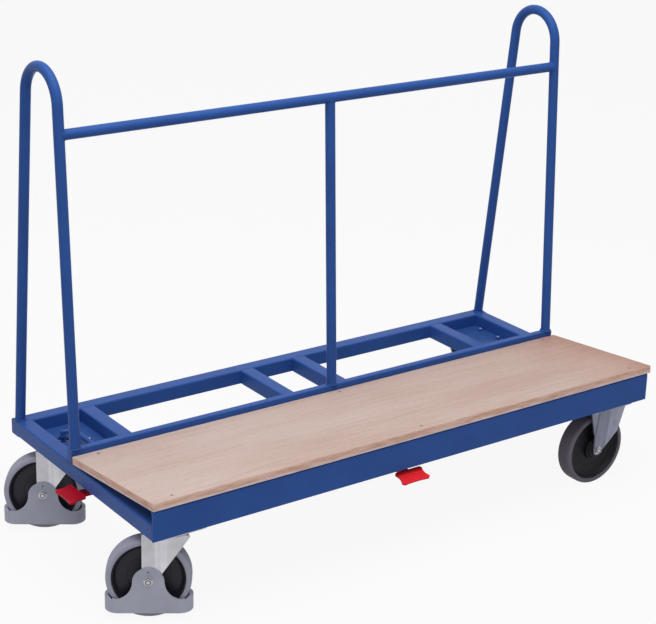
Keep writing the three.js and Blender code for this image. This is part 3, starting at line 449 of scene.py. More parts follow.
# The sawn edge is painted much lighter than the face's wood, as painted light from the bright floor and surroundings;
# it is palest in a band along the bottom.
broad = shaded(plies, share, (0.0, tone(250, 236, 240)), (0.2, tone(247, 226, 224)), (0.35, tone(240, 206, 196)),
               (0.6, tone(241, 204, 188)), (0.8, tone(243, 205, 186)), (1.0, tone(250, 220, 206)))
layer = node(plies, "ShaderNodeTexWave", Vector=across, Scale=100, Distortion=0.4, Detail=2, Detail_Scale=0.4)
layer.bands_direction = "Z"
glue = shaded(plies, layer.outputs[1], (0.1, tone(232, 221, 213)), (0.4, tone(255, 255, 255)))
sawn = mottle(plies, on_piece(plies, (DECK_SLOPE, 0, 0), (26, 26, 160)), 1, 5)
patches = shaded(plies, sawn, (0.32, tone(232, 216, 207)), (0.6, tone(255, 255, 255)))
wire(plies, shader, Base_Color=layered(plies, broad, glue, patches))
relief(plies, shader, sawn, 0.25, 0.0004)

dress(board, veneer, "cart", "plywood", "deck_board")
board.data.materials.append(plies)
bpy.ops.object.mode_set(mode="EDIT")
up = Vector((0, math.sin(DECK_SLOPE), math.cos(DECK_SLOPE)))
pick(board, "FACE", lambda face: abs(face.normal.dot(up)) < 0.5)
board.active_material_index = 1
bpy.ops.object.material_slot_assign()
bpy.ops.object.mode_set(mode="OBJECT")


# Zinc plate: bright zinc on pressed and turned steel, with a faint cloudy bloom and fine rubbing marks. Pressed legs
# can be given lighter and darker strips side by side across the leg: painted highlights and painted shade of their
# creases.
def zinc_plate(name, red, green, blue, strips=()):
    zinc, shader = new_finish(name, 0.35, 0.55)
    place = on_piece(zinc)
    bloom = shaded(zinc, mottle(zinc, place, 38, 5), (0.3, tone(red, green, blue, 0.86)), (0.7, tone(red, green, blue, 1.04)))
    if strips:
        across = node(zinc, "ShaderNodeAttribute")
        across.attribute_name = "across"
        painted_crease_light = shaded(zinc, across.outputs["Fac"], *[(share, (light, light, light, 1)) for share, light in strips])
        bloom = layered(zinc, bloom, painted_crease_light)
    wire(zinc, shader, Base_Color=bloom, Roughness=spread(zinc, mottle(zinc, place, 90, 4), 0.28, 0.44))
    relief(zinc, shader, mottle(zinc, on_piece(zinc, stretch=(900, 900, 120)), 1, 3), 0.1, 0.0002)
    return zinc


def measured_across(piece, start, end):
    shares = piece.data.attributes.new("across", "FLOAT", "POINT")
    for vert, share in zip(piece.data.vertices, shares.data):
        share.value = (vert.co.x - start) / (end - start)


bright_zinc = zinc_plate("bright_zinc", 212, 214, 222)


# Deck screws: countersunk cross-head screws, driven flush through the board into the rails below.
def copied(piece, name):
    alone(piece)
    bpy.ops.object.duplicate()
    twin = bpy.context.object
    twin.name = twin.data.name = name
    return twin


def moved(piece, shift, turn=(0, 0, 0)):
    alone(piece)
    piece.location, piece.rotation_euler = shift, turn
    bpy.ops.object.transform_apply(location=True, rotation=True, scale=True)
    return piece


screw = rod("screw_pattern", 0.0042, (0, 0, -0.004), (0, 0, 0.0002), 24)
bpy.ops.object.mode_set(mode="EDIT")
pick(screw, "FACE", lambda face: face.normal.z > 0.9)
bpy.ops.mesh.bevel(offset=0.0004, segments=2, affect="EDGES")
bpy.ops.object.mode_set(mode="OBJECT")
for turn in (0, math.pi / 2):
    cross = block("driver", (-0.0024, -0.0005, -0.002), (0.0024, 0.0005, 0.002))
    cut(screw, moved(cross, (0, 0, 0), (0, 0, turn)))
smooth(screw)
dark_zinc = zinc_plate("screw_zinc", 104, 96, 92)
board_top = board_corner + 0.02 * up
board_back = Vector((0, math.cos(DECK_SLOPE), -math.sin(DECK_SLOPE)))
board_middle = (low.x + high.x) / 2
for place, across in enumerate((-0.714, -0.0005, 0.714)):
    for line, back in (("front", 0.018), ("rear", 0.363)):
        head = copied(screw, f"deck_screw_{line}_{place + 1}")
        spot = Vector((board_middle + across, board_top.y, board_top.z)) + back * board_back
        moved(head, spot, (-DECK_SLOPE, 0, 0.4 + place))
        dress(head, dark_zinc, "cart", "zinc_steel")
bpy.data.objects.remove(screw)


# Caster plates and bolts: each caster hangs on a 5 mm pressed plate with rounded corners. Four bolts go up
# through plate and pad into nuts that are welded on the pad and coated with it, so only the bolts' ends are bare.
def chamfered_hexagon(name, corners, low, high, top=True):
    nut = rod(name, corners / 2, (0, 0, low), (0, 0, high), 6)
    bpy.ops.object.mode_set(mode="EDIT")
    pick(nut, "FACE", lambda face: abs(face.normal.z) > 0.9 and (face.normal.z > 0) == top)
    bpy.ops.mesh.bevel(offset=0.0009, segments=2, affect="EDGES")
    bpy.ops.object.mode_set(mode="OBJECT")
    return nut


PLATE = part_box("front_fixed_fork")[1].z
PAD_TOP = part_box("front_right_pad")[1].z
bolt = chamfered_hexagon("bolt_pattern", 0.015, PLATE - 0.0105, PLATE - 0.005, top=False)
shank = rod("shank_pattern", 0.0038, (0, 0, PLATE - 0.006), (0, 0, PAD_TOP + 0.0082), 24)
settle(shank, "BEVEL", width=0.0009, segments=2, limit_method="ANGLE")
cut(bolt, shank, "UNION")
smooth(bolt, 30)
nut = chamfered_hexagon("nut_pattern", 0.0145, PAD_TOP + 0.0002, PAD_TOP + 0.0066)
cut(nut, rod("drill", 0.0041, (0, 0, PAD_TOP - 0.01), (0, 0, PAD_TOP + 0.02), 24))
smooth(nut, 30)
for row in ("front", "rear"):
    middle = pivots[f"{row}_swivel_turn"]
    swivel_top = plate(f"{row}_swivel_top_plate", (middle.x - 0.07, middle.y - 0.055, PLATE - 0.005),
                       (middle.x + 0.07, middle.y + 0.055, PLATE), 2, 0.012, 0.0008)
    race = rod("race", 0.046, (*middle.xy, PLATE - 0.011), (*middle.xy, PLATE - 0.002), 96)
    settle(race, "BEVEL", width=0.002, segments=4, limit_method="ANGLE")
    cut(swivel_top, race, "UNION")
    cut(swivel_top, rod("drill", 0.0123, (*middle.xy, 0.2), (*middle.xy, 0.24)))
    smooth(swivel_top)
    dress(swivel_top, bright_zinc, "cart", "zinc_steel", f"{row}_swivel_plate")
    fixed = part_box(f"{row}_fixed_fork")
    fixed_middle = (fixed[0] + fixed[1]) / 2
    for end, centre in (("swivel", middle), ("fixed", fixed_middle)):
        for number, (across, along) in enumerate(((-1, -1), (1, -1), (1, 1), (-1, 1))):
            one = copied(bolt, f"{row}_{end}_plate_bolt_{number + 1}")
            spot = (centre.x + across * 0.0525, centre.y + along * 0.04, 0)
            dress(moved(one, spot, (0, 0, 0.3 * number)), bright_zinc, "cart", "zinc_steel")
            one = copied(nut, f"{row}_{end}_pad_nut_{number + 1}")
            dress(moved(one, spot, (0, 0, 0.5 * number)), blue_coat, "cart", "blue_paint")
for pattern in (bolt, nut):
    bpy.data.objects.remove(pattern)


# Swivel forks: 4 mm steel pressed into an arch over the wheel. The legs step out a little ahead of a crease, their
# leading edges are rolled for stiffness, and the crown carries the lower race.
def arc(centre, radius, start, end, steps):
    angles = [math.radians(start + (end - start) * step / steps) for step in range(steps + 1)]
    return [(centre[0] + radius * math.cos(angle), centre[1] + radius * math.sin(angle)) for angle in angles]


def prism(name, outline, half):
    solid = traced(name, [(across, -half, up) for across, up in outline])
    drawn_out((0, 2 * half, 0))
    bpy.ops.mesh.select_all(action="SELECT")
    bpy.ops.mesh.normals_make_consistent(inside=False)
    bpy.ops.object.mode_set(mode="OBJECT")
    return solid


CROWN = 0.2185
AXLE = 0.1
LEG = 0.0295
fork = traced("fork_pattern", [(-0.066, LEG, 0.08), (-0.066, LEG, CROWN), (-0.066, -LEG, CROWN), (-0.066, -LEG, 0.08)],
              closed=False)
for step in (0.029, 0.007, 0.077):
    drawn_out((step, 0, 0))
for back, splay in ((-0.031, 1.09), (0.04, 1.04)):
    pick(fork, "VERT", lambda vert: vert.co.x > back and vert.co.z > CROWN - 1e-4)
    bpy.ops.transform.resize(value=(1, splay, 1), center_override=(0, 0, CROWN))
pick(fork, "EDGE", lambda edge: all(vert.co.z > CROWN - 1e-4 for vert in edge.verts)
     and abs(edge.verts[0].co.x - edge.verts[1].co.x) > 0.002)
bpy.ops.mesh.bevel(offset=0.0045, segments=5, affect="EDGES")
bpy.ops.mesh.select_all(action="SELECT")
bpy.ops.mesh.normals_make_consistent(inside=False)
bpy.ops.object.mode_set(mode="OBJECT")
settle(fork, "SOLIDIFY", thickness=0.004, offset=-1, use_even_offset=True)
lead = math.degrees(math.atan2(CROWN - AXLE, 0.094)) - math.degrees(math.acos(0.015 / math.hypot(0.094, CROWN - AXLE)))
foot_arc = arc((-0.05, AXLE), 0.015, 180, 360 + lead, 20)
cut(fork, prism("outline", [(0.044, CROWN + 0.001), (-0.065, CROWN + 0.001), *foot_arc], 0.06), "INTERSECT")
race = rod("race", 0.046, (0, 0, CROWN - 0.0055), (0, 0, CROWN), 96)
settle(race, "BEVEL", width=0.002, segments=4, limit_method="ANGLE")
cut(fork, race, "UNION")
settle(fork, "BEVEL", width=0.0006, segments=2, limit_method="ANGLE", angle_limit=math.radians(55))
for side in (-1, 1):
    touch = Vector((foot_arc[-1][0] + 0.002, side * 0.0275, foot_arc[-1][1] + 0.004))
    lip = rod("lip", 0.0027, touch, (0.0448, side * 0.03, CROWN - 0.0029), 16)
    settle(lip, "BEVEL", width=0.0022, segments=3, limit_method="ANGLE", angle_limit=math.radians(60))
    cut(fork, lip, "UNION")
cut(fork, rod("drill", 0.0125, (0, 0, 0.2), (0, 0, 0.23)))
cut(fork, rod("drill", 0.0063, (-0.05, -0.05, AXLE), (-0.05, 0.05, AXLE), 32))
smooth(fork, 40)
measured_across(fork, -0.066, 0.044)
# The strips across the legs are painted highlights and painted shade along the crease.
crease_lit_zinc = zinc_plate("crease_lit_zinc", 222, 220, 227, ((0, 0.88), (0.27, 0.88), (0.3, 1.06), (0.35, 1.02), (0.38, 0.98), (0.41, 1.08),
                                                      (0.52, 1.06), (0.56, 0.94), (1, 0.92)))
SWIVEL_YAW = math.radians(-33)
for row in ("front", "rear"):
    middle = pivots[f"{row}_swivel_turn"]
    one = moved(copied(fork, f"{row}_swivel_arch"), (*middle.xy, 0), (0, 0, SWIVEL_YAW))
    dress(one, crease_lit_zinc, f"{row}_swivel", "zinc_steel", f"{row}_swivel_fork")
bpy.data.objects.remove(fork)


# Foot guards: grey plastic mouldings round the lower half of each swivel wheel, so that it cannot roll over a
# foot. A bell on each side reaches up to the axle bolt, which holds it.
def quarter(start, pull, end, steps=10):
    start, pull, end = Vector(start), Vector(pull), Vector(end)
    shares = [step / steps for step in range(steps + 1)]
    return [tuple(start * (1 - t) ** 2 + pull * 2 * t * (1 - t) + end * t * t) for t in shares]


def bell_curve(start, first, second, end, steps=14):
    start, first, second, end = Vector(start), Vector(first), Vector(second), Vector(end)
    shares = [step / steps for step in range(steps + 1)]
    return [tuple(start * (1 - t) ** 3 + first * 3 * t * (1 - t) ** 2 + second * 3 * t * t * (1 - t) + end * t ** 3)
            for t in shares]


END = 0.1025
half_outline = [
    (END, -0.083), (END, -0.049),
    *bell_curve((0.084, -0.049), (0.052, -0.049), (0.037, -0.024), (0.037, -0.001)),
    *bell_curve((0.037, -0.001), (0.037, 0.016), (0.021, 0.033), (0, 0.033))[1:],
]
outline = half_outline + [(-across, up) for across, up in reversed(half_outline[:-1])]
def round_ended(name, low, high, corner):
    body = block(name, low, high)
    bpy.ops.object.mode_set(mode="EDIT")
    pick(body, "EDGE", lambda edge: abs(edge.verts[0].co.z - edge.verts[1].co.z) > 0.05)
    bpy.ops.mesh.bevel(offset=corner, segments=18, affect="EDGES")
    bpy.ops.object.mode_set(mode="OBJECT")
    return body


guard = round_ended("guard_pattern", (-END, -0.0338, -0.083), (END, 0.0338, 0.0335), 0.032)
cut(guard, prism("outline", outline, 0.06), "INTERSECT")
cut(guard, round_ended("inside", (0.009 - END, -0.0298, -0.1), (END - 0.009, 0.0298, 0.1), 0.028))
settle(guard, "BEVEL", width=0.0011, segments=3, limit_method="ANGLE", angle_limit=math.radians(50))
cut(guard, rod("drill", 0.0063, (0, -0.05, 0), (0, 0.05, 0), 32))
cut(guard, rod("drill", 0.0024, (0, -0.05, 0.0232), (0, 0.05, 0.0232), 20))
smooth(guard, 40)

guard_plastic, shader = new_finish("guard_plastic", 0.5)
shader.inputs["Specular IOR Level"].default_value = 0.35
place = on_piece(guard_plastic)
wire(guard_plastic, shader,
     Base_Color=shaded(guard_plastic, mottle(guard_plastic, place, 22, 4), (0.3, tone(174, 177, 194)),
                       (0.7, tone(186, 188, 205))),
     Roughness=spread(guard_plastic, mottle(guard_plastic, place, 80, 3), 0.42, 0.58))
relief(guard_plastic, shader, mottle(guard_plastic, place, 1400, 1), 0.25, 0.0003)
for row in ("front", "rear"):
    one = moved(copied(guard, f"{row}_foot_guard"), pivots[f"{row}_swivel_roll"], (0, 0, SWIVEL_YAW))
    dress(one, guard_plastic, f"{row}_swivel", "guard_plastic", f"{row}_wheel_guard")
bpy.data.objects.remove(guard)


# Fixed forks: 4 mm steel legs pressed with bevelled sides and a crease down the middle. They flare above the
# wheel and are welded under a rounded plate.
OFFSET = -0.027
leg_rows = [(0.024, OFFSET, 0.082), (0.092, OFFSET + 0.027, 0.143), (0.137, OFFSET + 0.0215, PLATE - 0.001)]
columns = (-0.5, -0.35, -0.05, 0.05, 0.35, 0.5)
width, centre, up = leg_rows[0]
leg = traced("leg_pattern", [(centre + share * width, LEG - 0.002, up) for share in columns], closed=False)
for (width, centre, up), (wider, shifted, higher) in zip(leg_rows, leg_rows[1:]):
    drawn_out((shifted - centre, 0.01 if higher > 0.2 else 0, higher - up))
    bpy.ops.transform.resize(value=(wider / width, 1, 1), center_override=(shifted, LEG, higher))
for reach, press in ((0.4, 0.003), (0.1, 0.0016)):
    pick(leg, "VERT", lambda vert: any(abs(vert.co.z - up) < 1e-4 and abs(vert.co.x - centre) < reach * width
                                       for width, centre, up in leg_rows[1:]))
    bpy.ops.transform.translate(value=(0, press, 0))
bpy.ops.mesh.select_all(action="SELECT")
bpy.ops.mesh.normals_make_consistent(inside=False)
bpy.ops.object.mode_set(mode="OBJECT")
settle(leg, "SOLIDIFY", thickness=0.004, offset=0, use_even_offset=True)
leg_outline = [*arc((OFFSET, AXLE), 0.015, 200, 340, 16), (0.042, 0.143), (0.059, PLATE - 0.0025),
               (-0.07, PLATE - 0.0025), (-0.042, 0.143)]
cut(leg, prism("outline", leg_outline, 0.08), "INTERSECT")
cut(leg, rod("drill", 0.0063, (OFFSET, 0, AXLE), (OFFSET, 0.06, AXLE), 32))
settle(leg, "BEVEL", width=0.0008, segments=3, limit_method="ANGLE", angle_limit=math.radians(4))
far_leg = copied(leg, "far_leg")
bpy.ops.object.mode_set(mode="EDIT")
bpy.ops.mesh.select_all(action="SELECT")
bpy.ops.transform.resize(value=(1, -1, 1), center_override=(0, 0, 0))
bpy.ops.mesh.normals_make_consistent(inside=False)
bpy.ops.object.mode_set(mode="OBJECT")
fixed_top = plate("fixed_top", (-0.07, -0.055, PLATE - 0.005), (0.07, 0.055, PLATE), 2, 0.012, 0.0008)
for part in (leg, far_leg):
    cut(fixed_top, part, "UNION")
smooth(fixed_top, 30)
measured_across(fixed_top, -0.07, 0.07)
# The strips across the legs are painted highlights and painted shade along the crease and bevels.
blue_zinc = zinc_plate("blue_zinc", 146, 149, 170, ((0, 0.82), (0.17, 0.82), (0.19, 0.42), (0.22, 0.44), (0.24, 0.76), (0.3, 0.68),
                                                    (0.36, 0.78), (0.42, 0.68), (0.49, 0.72), (0.52, 1.04), (0.58, 0.98),
                                                    (0.66, 0.92), (0.72, 1.02), (0.8, 0.94), (1, 1)))
for row in ("front", "rear"):
    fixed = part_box(f"{row}_fixed_fork")
    one = moved(copied(fixed_top, f"{row}_fixed_legs"), (*((fixed[0] + fixed[1]) / 2).xy, 0))
    dress(one, blue_zinc, "cart", "zinc_steel", f"{row}_fixed_fork")
bpy.data.objects.remove(fixed_top)


# Axle bolts: a hexagon nut on a washer at each end of a threaded bar, on the wheel's axis. The nuts are
# countersunk round the bar; the sinks and the nuts' flanks are coloured darker as painted shade.
def axle_bolt(name, seat):
    bolt = rod(name, 0.0046, (0, 0, -seat - 0.007), (0, 0, seat + 0.007), 32)
    settle(bolt, "BEVEL", width=0.0008, segments=2, limit_method="ANGLE", angle_limit=math.radians(60))
    barrel = rod("barrel", 0.006, (0, 0, -seat - 0.001), (0, 0, seat + 0.001), 32)
    cut(bolt, barrel, "UNION")
    for side in (-1, 1):
        ring = rod("ring", 0.0112, (0, 0, side * seat), (0, 0, side * (seat + 0.0016)), 40)
        settle(ring, "BEVEL", width=0.0004, segments=2, limit_method="ANGLE", angle_limit=math.radians(60))
        cut(bolt, ring, "UNION")
        low, high = sorted((side * (seat + 0.0014), side * (seat + 0.0064)))
        head = chamfered_hexagon("head", 0.0196, low, high, top=side > 0)
        sink = rod("sink", 0.0068, (0, 0, side * (seat + 0.0044)), (0, 0, side * (seat + 0.01)), 32)
        cut(sink, rod("core", 0.0045, (0, 0, side * seat), (0, 0, side * (seat + 0.02)), 32))
        cut(head, sink)
        cut(bolt, head, "UNION")
    smooth(bolt, 30)
    return moved(bolt, (0, 0, 0), (math.pi / 2, 0, 0))


# Gives the countersinks and hexagon flanks the darker zinc: painted shade in the recesses and on the flanks.
def shade_painted_sinks(bolt, centre, way, seat):
    def in_painted_shade(face):
        spot = face.calc_center_median() - centre
        out, along = spot.cross(way).length, abs(spot.dot(way)) - seat
        return 0.0042 < along < 0.0062 and out < 0.0072 or 0.0018 < along < 0.006 and 0.0075 < out and abs(face.normal.dot(way)) < 0.3

    bolt.data.materials.append(dark_zinc)
    bpy.ops.object.mode_set(mode="EDIT")
    pick(bolt, "FACE", in_painted_shade)
    bolt.active_material_index = 1
    bpy.ops.object.material_slot_assign()
    bpy.ops.object.mode_set(mode="OBJECT")


swivel_axle = axle_bolt("swivel_axle_pattern", 0.0341)
fixed_axle = axle_bolt("fixed_axle_pattern", 0.0298)
for row in ("front", "rear"):
    one = moved(copied(swivel_axle, f"{row}_swivel_axle_bolt"), pivots[f"{row}_swivel_roll"], (0, 0, SWIVEL_YAW))
    dress(one, bright_zinc, f"{row}_swivel", "zinc_steel", f"{row}_swivel_axle")
    shade_painted_sinks(one, pivots[f"{row}_swivel_roll"], Vector((-math.sin(SWIVEL_YAW), math.cos(SWIVEL_YAW), 0)), 0.0341)
    one = moved(copied(fixed_axle, f"{row}_fixed_axle_bolt"), pivots[f"{row}_fixed_roll"])
    dress(one, bright_zinc, "cart", "zinc_steel", f"{row}_fixed_axle")
    shade_painted_sinks(one, pivots[f"{row}_fixed_roll"], Vector((0, 1, 0)), 0.0298)
for pattern in (swivel_axle, fixed_axle):
    bpy.data.objects.remove(pattern)


# Wheels: a black moulded hub, dished on both faces, with an elastic tyre moulded round it. The tyres of the swivel
# casters are light grey, and those of the fixed casters a browner grey.
def turned(name, half_section, steps=112):
    section = half_section + [(radius, -along) for radius, along in reversed(half_section)]
    ring = traced(name, [(radius, along, 0) for radius, along in section + section[:1]], closed=False)
    bpy.ops.mesh.remove_doubles(threshold=1e-6)
    bpy.ops.mesh.spin(steps=steps, angle=2 * math.pi, center=(0, 0, 0), axis=(0, 1, 0))
    bpy.ops.mesh.select_all(action="SELECT")
    bpy.ops.mesh.remove_doubles(threshold=1e-6)
    bpy.ops.mesh.normals_make_consistent(inside=False)
    bpy.ops.object.mode_set(mode="OBJECT")
    return ring


tyre = turned("tyre_pattern", [
    (0.0866, 0.0212), (0.087, 0.0222), (0.0876, 0.0225), (0.0884, 0.0225), (0.0888, 0.0221), (0.0894, 0.0221), (0.0898, 0.0225),
    *[(0.0922 + 0.0075 * math.cos(math.radians(angle)), 0.015 + 0.0075 * math.sin(math.radians(angle)))
      for angle in range(90, -1, -10)],
    (0.0999, 0.010), (0.1, 0.004),
])
smooth(tyre, 40)
hub = turned("hub_pattern", [
    (0.0105, 0.0246), (0.0108, 0.025), (0.0165, 0.025), (0.017, 0.0242), (0.0185, 0.0242), (0.019, 0.025),
    (0.0232, 0.025), (0.024, 0.0242), (0.0252, 0.0205), (0.0262, 0.0192), (0.0292, 0.0188), (0.0302, 0.0178),
    (0.031, 0.0112), (0.0322, 0.009), (0.0345, 0.0082),
    (0.049, 0.008), (0.0496, 0.0088), (0.052, 0.0088), (0.0526, 0.008),
    (0.072, 0.008), (0.0748, 0.0084), (0.0772, 0.0096), (0.0796, 0.0124), (0.082, 0.0162), (0.0836, 0.0182),
    (0.0846, 0.0189), (0.0858, 0.0191), (0.0863, 0.0186),
])
smooth(hub, 30)


def tyre_rubber(name, red, green, blue):
    rubber, shader = new_finish(name, 0.7)
    shader.inputs["Specular IOR Level"].default_value = 0.25
    place = on_piece(rubber)
    wire(rubber, shader,
         Base_Color=shaded(rubber, mottle(rubber, place, 14, 5), (0.3, tone(red, green, blue, 0.9)),
                           (0.7, tone(red, green, blue, 1.08))),
         Roughness=spread(rubber, mottle(rubber, place, 60, 3), 0.6, 0.8))
    relief(rubber, shader, mottle(rubber, place, 900, 2), 0.3, 0.0003)
    return rubber


grey_rubber = tyre_rubber("grey_tyre_rubber", 172, 172, 190)
brown_rubber = tyre_rubber("brown_grey_tyre_rubber", 118, 112, 124)


def hub_plastic(name, red, green, blue, gloss):
    plastic, shader = new_finish(name, 0.42)
    shader.inputs["Specular IOR Level"].default_value = gloss
    place = on_piece(plastic)
    wire(plastic, shader,
         Base_Color=shaded(plastic, mottle(plastic, place, 30, 4), (0.3, tone(red, green, blue, 0.85)), (0.7, tone(red, green, blue, 1.1))),
         Roughness=spread(plastic, mottle(plastic, place, 70, 3), 0.36, 0.52))
    relief(plastic, shader, mottle(plastic, place, 1300, 1), 0.22, 0.0003)
    return plastic


grey_black = hub_plastic("grey_black_hub_plastic", 32, 32, 43, 0.3)
deep_black = hub_plastic("deep_black_hub_plastic", 20, 20, 27, 0.16)
for row in ("front", "rear"):
    for kind, yaw, plastic, rubber, slot in (("swivel", SWIVEL_YAW, grey_black, grey_rubber, "swivel_tyre"),
                                             ("fixed", 0, deep_black, brown_rubber, "fixed_tyre")):
        body, centre = f"{row}_{kind}_wheel", pivots[f"{row}_{kind}_roll"]
        one = moved(copied(hub, f"{row}_{kind}_wheel_hub"), centre, (0, 0, yaw))
        dress(one, plastic, body, "hub_plastic", f"{row}_{kind}_hub")
        one = moved(copied(tyre, f"{row}_{kind}_wheel_tyre"), centre, (0, 0, yaw))
        dress(one, rubber, body, slot, f"{row}_{kind}_tyre")
for pattern in (tyre, hub):
    bpy.data.objects.remove(pattern)

# Kingpins and axle sleeves: turned steel inside the casters. The pins' flanges lie in the pads' openings and share the
# pads' darker blue, which is painted shade, and the sleeves are zinc plated.
for row in ("front", "rear"):
    for hidden, finish in (("kingpin", bay_shade_coat), ("swivel_sleeve", dark_zinc), ("fixed_sleeve", dark_zinc)):
        frame["nodes"][f"{row}_{hidden}"].data.materials.clear()
        frame["nodes"][f"{row}_{hidden}"].data.materials.append(finish)

# Brake shafts, their bearing plates and the plungers: round bar and flat arms, coated with the base.
for hidden in ("brake_cross_shaft", "brake_long_shaft", "front_shaft_bearing", "rear_shaft_bearing", "front_brake_plunger",
               "rear_brake_plunger"):
    frame["nodes"][hidden].data.materials.clear()
    frame["nodes"][hidden].data.materials.append(blue_coat)


# Brake pedals: a waisted tread, pressed with ribs for grip, on an arm that reaches out under the base from a hub
# on its shaft. They are coated red so that they are found by foot.
def foot_pedal(name, reach, overhang, drop, slope):
    start = reach + overhang - 0.044 * math.cos(slope)
    rise = -0.026 - drop
    half_edge = [*arc((0.0075, -0.0335), 0.0075, 180, 260, 6), *quarter((0.0068, -0.0409), (0.0215, -0.033), (0.0352, -0.0418), 8),
                 *arc((0.0365, -0.0345), 0.0075, 264, 360, 8)[1:], *quarter((0.044, -0.0345), (0.0418, -0.017), (0.042, 0), 6)[1:]]
    edge = half_edge[:-1] + [(out, -across) for out, across in reversed(half_edge)]
    tread = traced(name, [(out, across, -0.005) for out, across in edge])
    drawn_out((0, 0, 0.005))
    bpy.ops.mesh.select_all(action="SELECT")
    bpy.ops.mesh.normals_make_consistent(inside=False)
    pick(tread, "FACE", lambda face: face.normal.z > 0.9)
    bpy.ops.mesh.inset(thickness=0.0034, depth=-0.0009)
    bpy.ops.object.mode_set(mode="OBJECT")
    settle(tread, "BEVEL", width=0.0018, segments=4, limit_method="ANGLE", angle_limit=math.radians(60))
    for place in (0.019, 0.0265, 0.034):
        rib = rod("rib", 0.0016, (place, -0.029, -0.0008), (place, 0.029, -0.0008), 16)
        settle(rib, "BEVEL", width=0.0014, segments=3, limit_method="ANGLE", angle_limit=math.radians(60))
        cut(tread, rib, "UNION")
    moved(tread, (start, 0, rise), (0, slope, 0))
    hang = rise - 0.005
    arm_end = start + 0.022
    arm_top = rise - 0.0025 - 0.022 * math.tan(slope)
    arm = prism("arm", [(-0.013, 0), (-0.013, hang - 0.01), (arm_end, arm_top - 0.01), (arm_end, arm_top),
                        (0.013, hang), (0.013, 0)], 0.012)
    settle(arm, "BEVEL", width=0.0012, segments=3, limit_method="ANGLE", angle_limit=math.radians(50))
    barrel = rod("barrel", 0.013, (0, -0.0125, 0), (0, 0.0125, 0), 48)
    settle(barrel, "BEVEL", width=0.0012, segments=3, limit_method="ANGLE", angle_limit=math.radians(50))
    cut(arm, barrel, "UNION")
    cut(tread, arm, "UNION")
    cut(tread, rod("drill", 0.0073, (0, -0.03, 0), (0, 0.03, 0), 40))
    smooth(tread, 35)
    return tread


red_coat = powder_coat("red_pedal_coat", 184, 17, 42)
# The side pedal's coat is a lighter copy of the same red: painted light, to make up for the shade of the beam above it.
lit_red_coat = powder_coat("lit_red_pedal_coat", 244, 46, 56)
cross_shaft = pivots["brake_press"]
left_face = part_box("rear_rail_left_cap")[0].x
front_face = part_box("front_beam")[0].y
end_tread = foot_pedal("end_brake_pedal", cross_shaft.x - left_face, 0.042, 0.017, math.radians(8))
end_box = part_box("end_pedal")
moved(end_tread, (cross_shaft.x, (end_box[0].y + end_box[1].y) / 2, cross_shaft.z), (0, 0, math.pi))
dress(end_tread, red_coat, "cross_brake", "red_paint", "end_pedal")
side_tread = foot_pedal("side_brake_pedal", long_shaft.y - front_face, 0.027, 0.011, math.radians(18))
side_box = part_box("side_pedal")
moved(side_tread, ((side_box[0].x + side_box[1].x) / 2, long_shaft.y, long_shaft.z), (0, 0, -math.pi / 2))
dress(side_tread, lit_red_coat, "long_brake", "red_paint", "side_pedal")

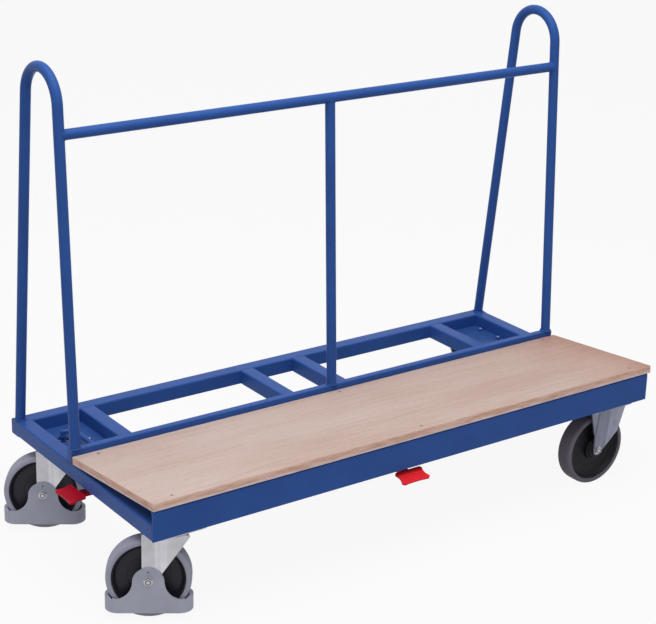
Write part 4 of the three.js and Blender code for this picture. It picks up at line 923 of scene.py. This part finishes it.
# Floor and light: a pale floor that fades into a white studio, a broad soft light overhead and two weak ones at
# the sides.
bpy.ops.object.select_all(action="DESELECT")
bpy.ops.mesh.primitive_plane_add(size=60)
floor = placed("studio_floor")
paper, shader = new_finish("studio_paper", 0.9)
shader.inputs["Base Color"].default_value = (0.62, 0.62, 0.62, 1)
seen = node(paper, "ShaderNodeLightPath")
first = node(paper, "ShaderNodeMath", Value=seen.outputs["Is Camera Ray"])
first.operation = "MAXIMUM"
paper.node_tree.links.new(seen.outputs["Is Glossy Ray"], first.inputs[1])
second = node(paper, "ShaderNodeMath", Value=first.outputs[0])
second.operation = "MAXIMUM"
paper.node_tree.links.new(seen.outputs["Is Transmission Ray"], second.inputs[1])
part = node(paper, "ShaderNodeMath", Value=second.outputs[0])
part.operation = "MULTIPLY"
part.inputs[1].default_value = 0.92
glow = node(paper, "ShaderNodeEmission", Strength=1.0)
blend = node(paper, "ShaderNodeMixShader", Fac=part.outputs[0])
paper.node_tree.links.new(shader.outputs[0], blend.inputs[1])
paper.node_tree.links.new(glow.outputs[0], blend.inputs[2])
paper.node_tree.links.new(blend.outputs[0], paper.node_tree.nodes["Material Output"].inputs["Surface"])
floor.data.materials.append(paper)

studio = bpy.context.scene.world or bpy.data.worlds.new("studio")
bpy.context.scene.world = studio
studio.use_nodes = True
sky = studio.node_tree.nodes["Background"]
sky.inputs["Color"].default_value = (1, 1, 1, 1)
seen = node(studio, "ShaderNodeLightPath")
first = node(studio, "ShaderNodeMath", Value=seen.outputs["Is Camera Ray"])
first.operation = "MAXIMUM"
studio.node_tree.links.new(seen.outputs["Is Glossy Ray"], first.inputs[1])
second = node(studio, "ShaderNodeMath", Value=first.outputs[0])
second.operation = "MAXIMUM"
studio.node_tree.links.new(seen.outputs["Is Transmission Ray"], second.inputs[1])
studio.node_tree.links.new(spread(studio, second.outputs[0], 0.25, 1.0), sky.inputs["Strength"])

for name, place, aim, size, power in (
        ("overhead_light", (-0.6, -0.8, 4.2), (0, 0, 0.4), 4.0, 148),
        ("front_light", (-1.6, -4.6, 2.0), (0, 0, 0.4), 2.6, 6),
        ("end_light", (-4.6, -0.6, 1.8), (0, 0, 0.4), 2.4, 7)):
    bpy.ops.object.light_add(type="AREA", location=place,
                             rotation=(Vector(aim) - Vector(place)).to_track_quat("-Z", "Y").to_euler())
    lamp = bpy.context.object
    lamp.name, lamp.data.size, lamp.data.energy = name, size, power

# Camera: at the photograph's place and angle, with the photograph's framing.
bpy.ops.object.camera_add(location=(-2.495395, -3.38337, 2.07983),
                          rotation=[math.radians(angle) for angle in (70.2138, -1.515, -35.5411)])
camera = bpy.context.object
camera.data.sensor_width = 36
camera.data.lens = 96.1
camera.data.shift_x, camera.data.shift_y = -0.00267, -0.02284
camera.data.clip_end = 200
bpy.context.scene.camera = camera
bpy.context.scene.view_settings.view_transform = "Standard"
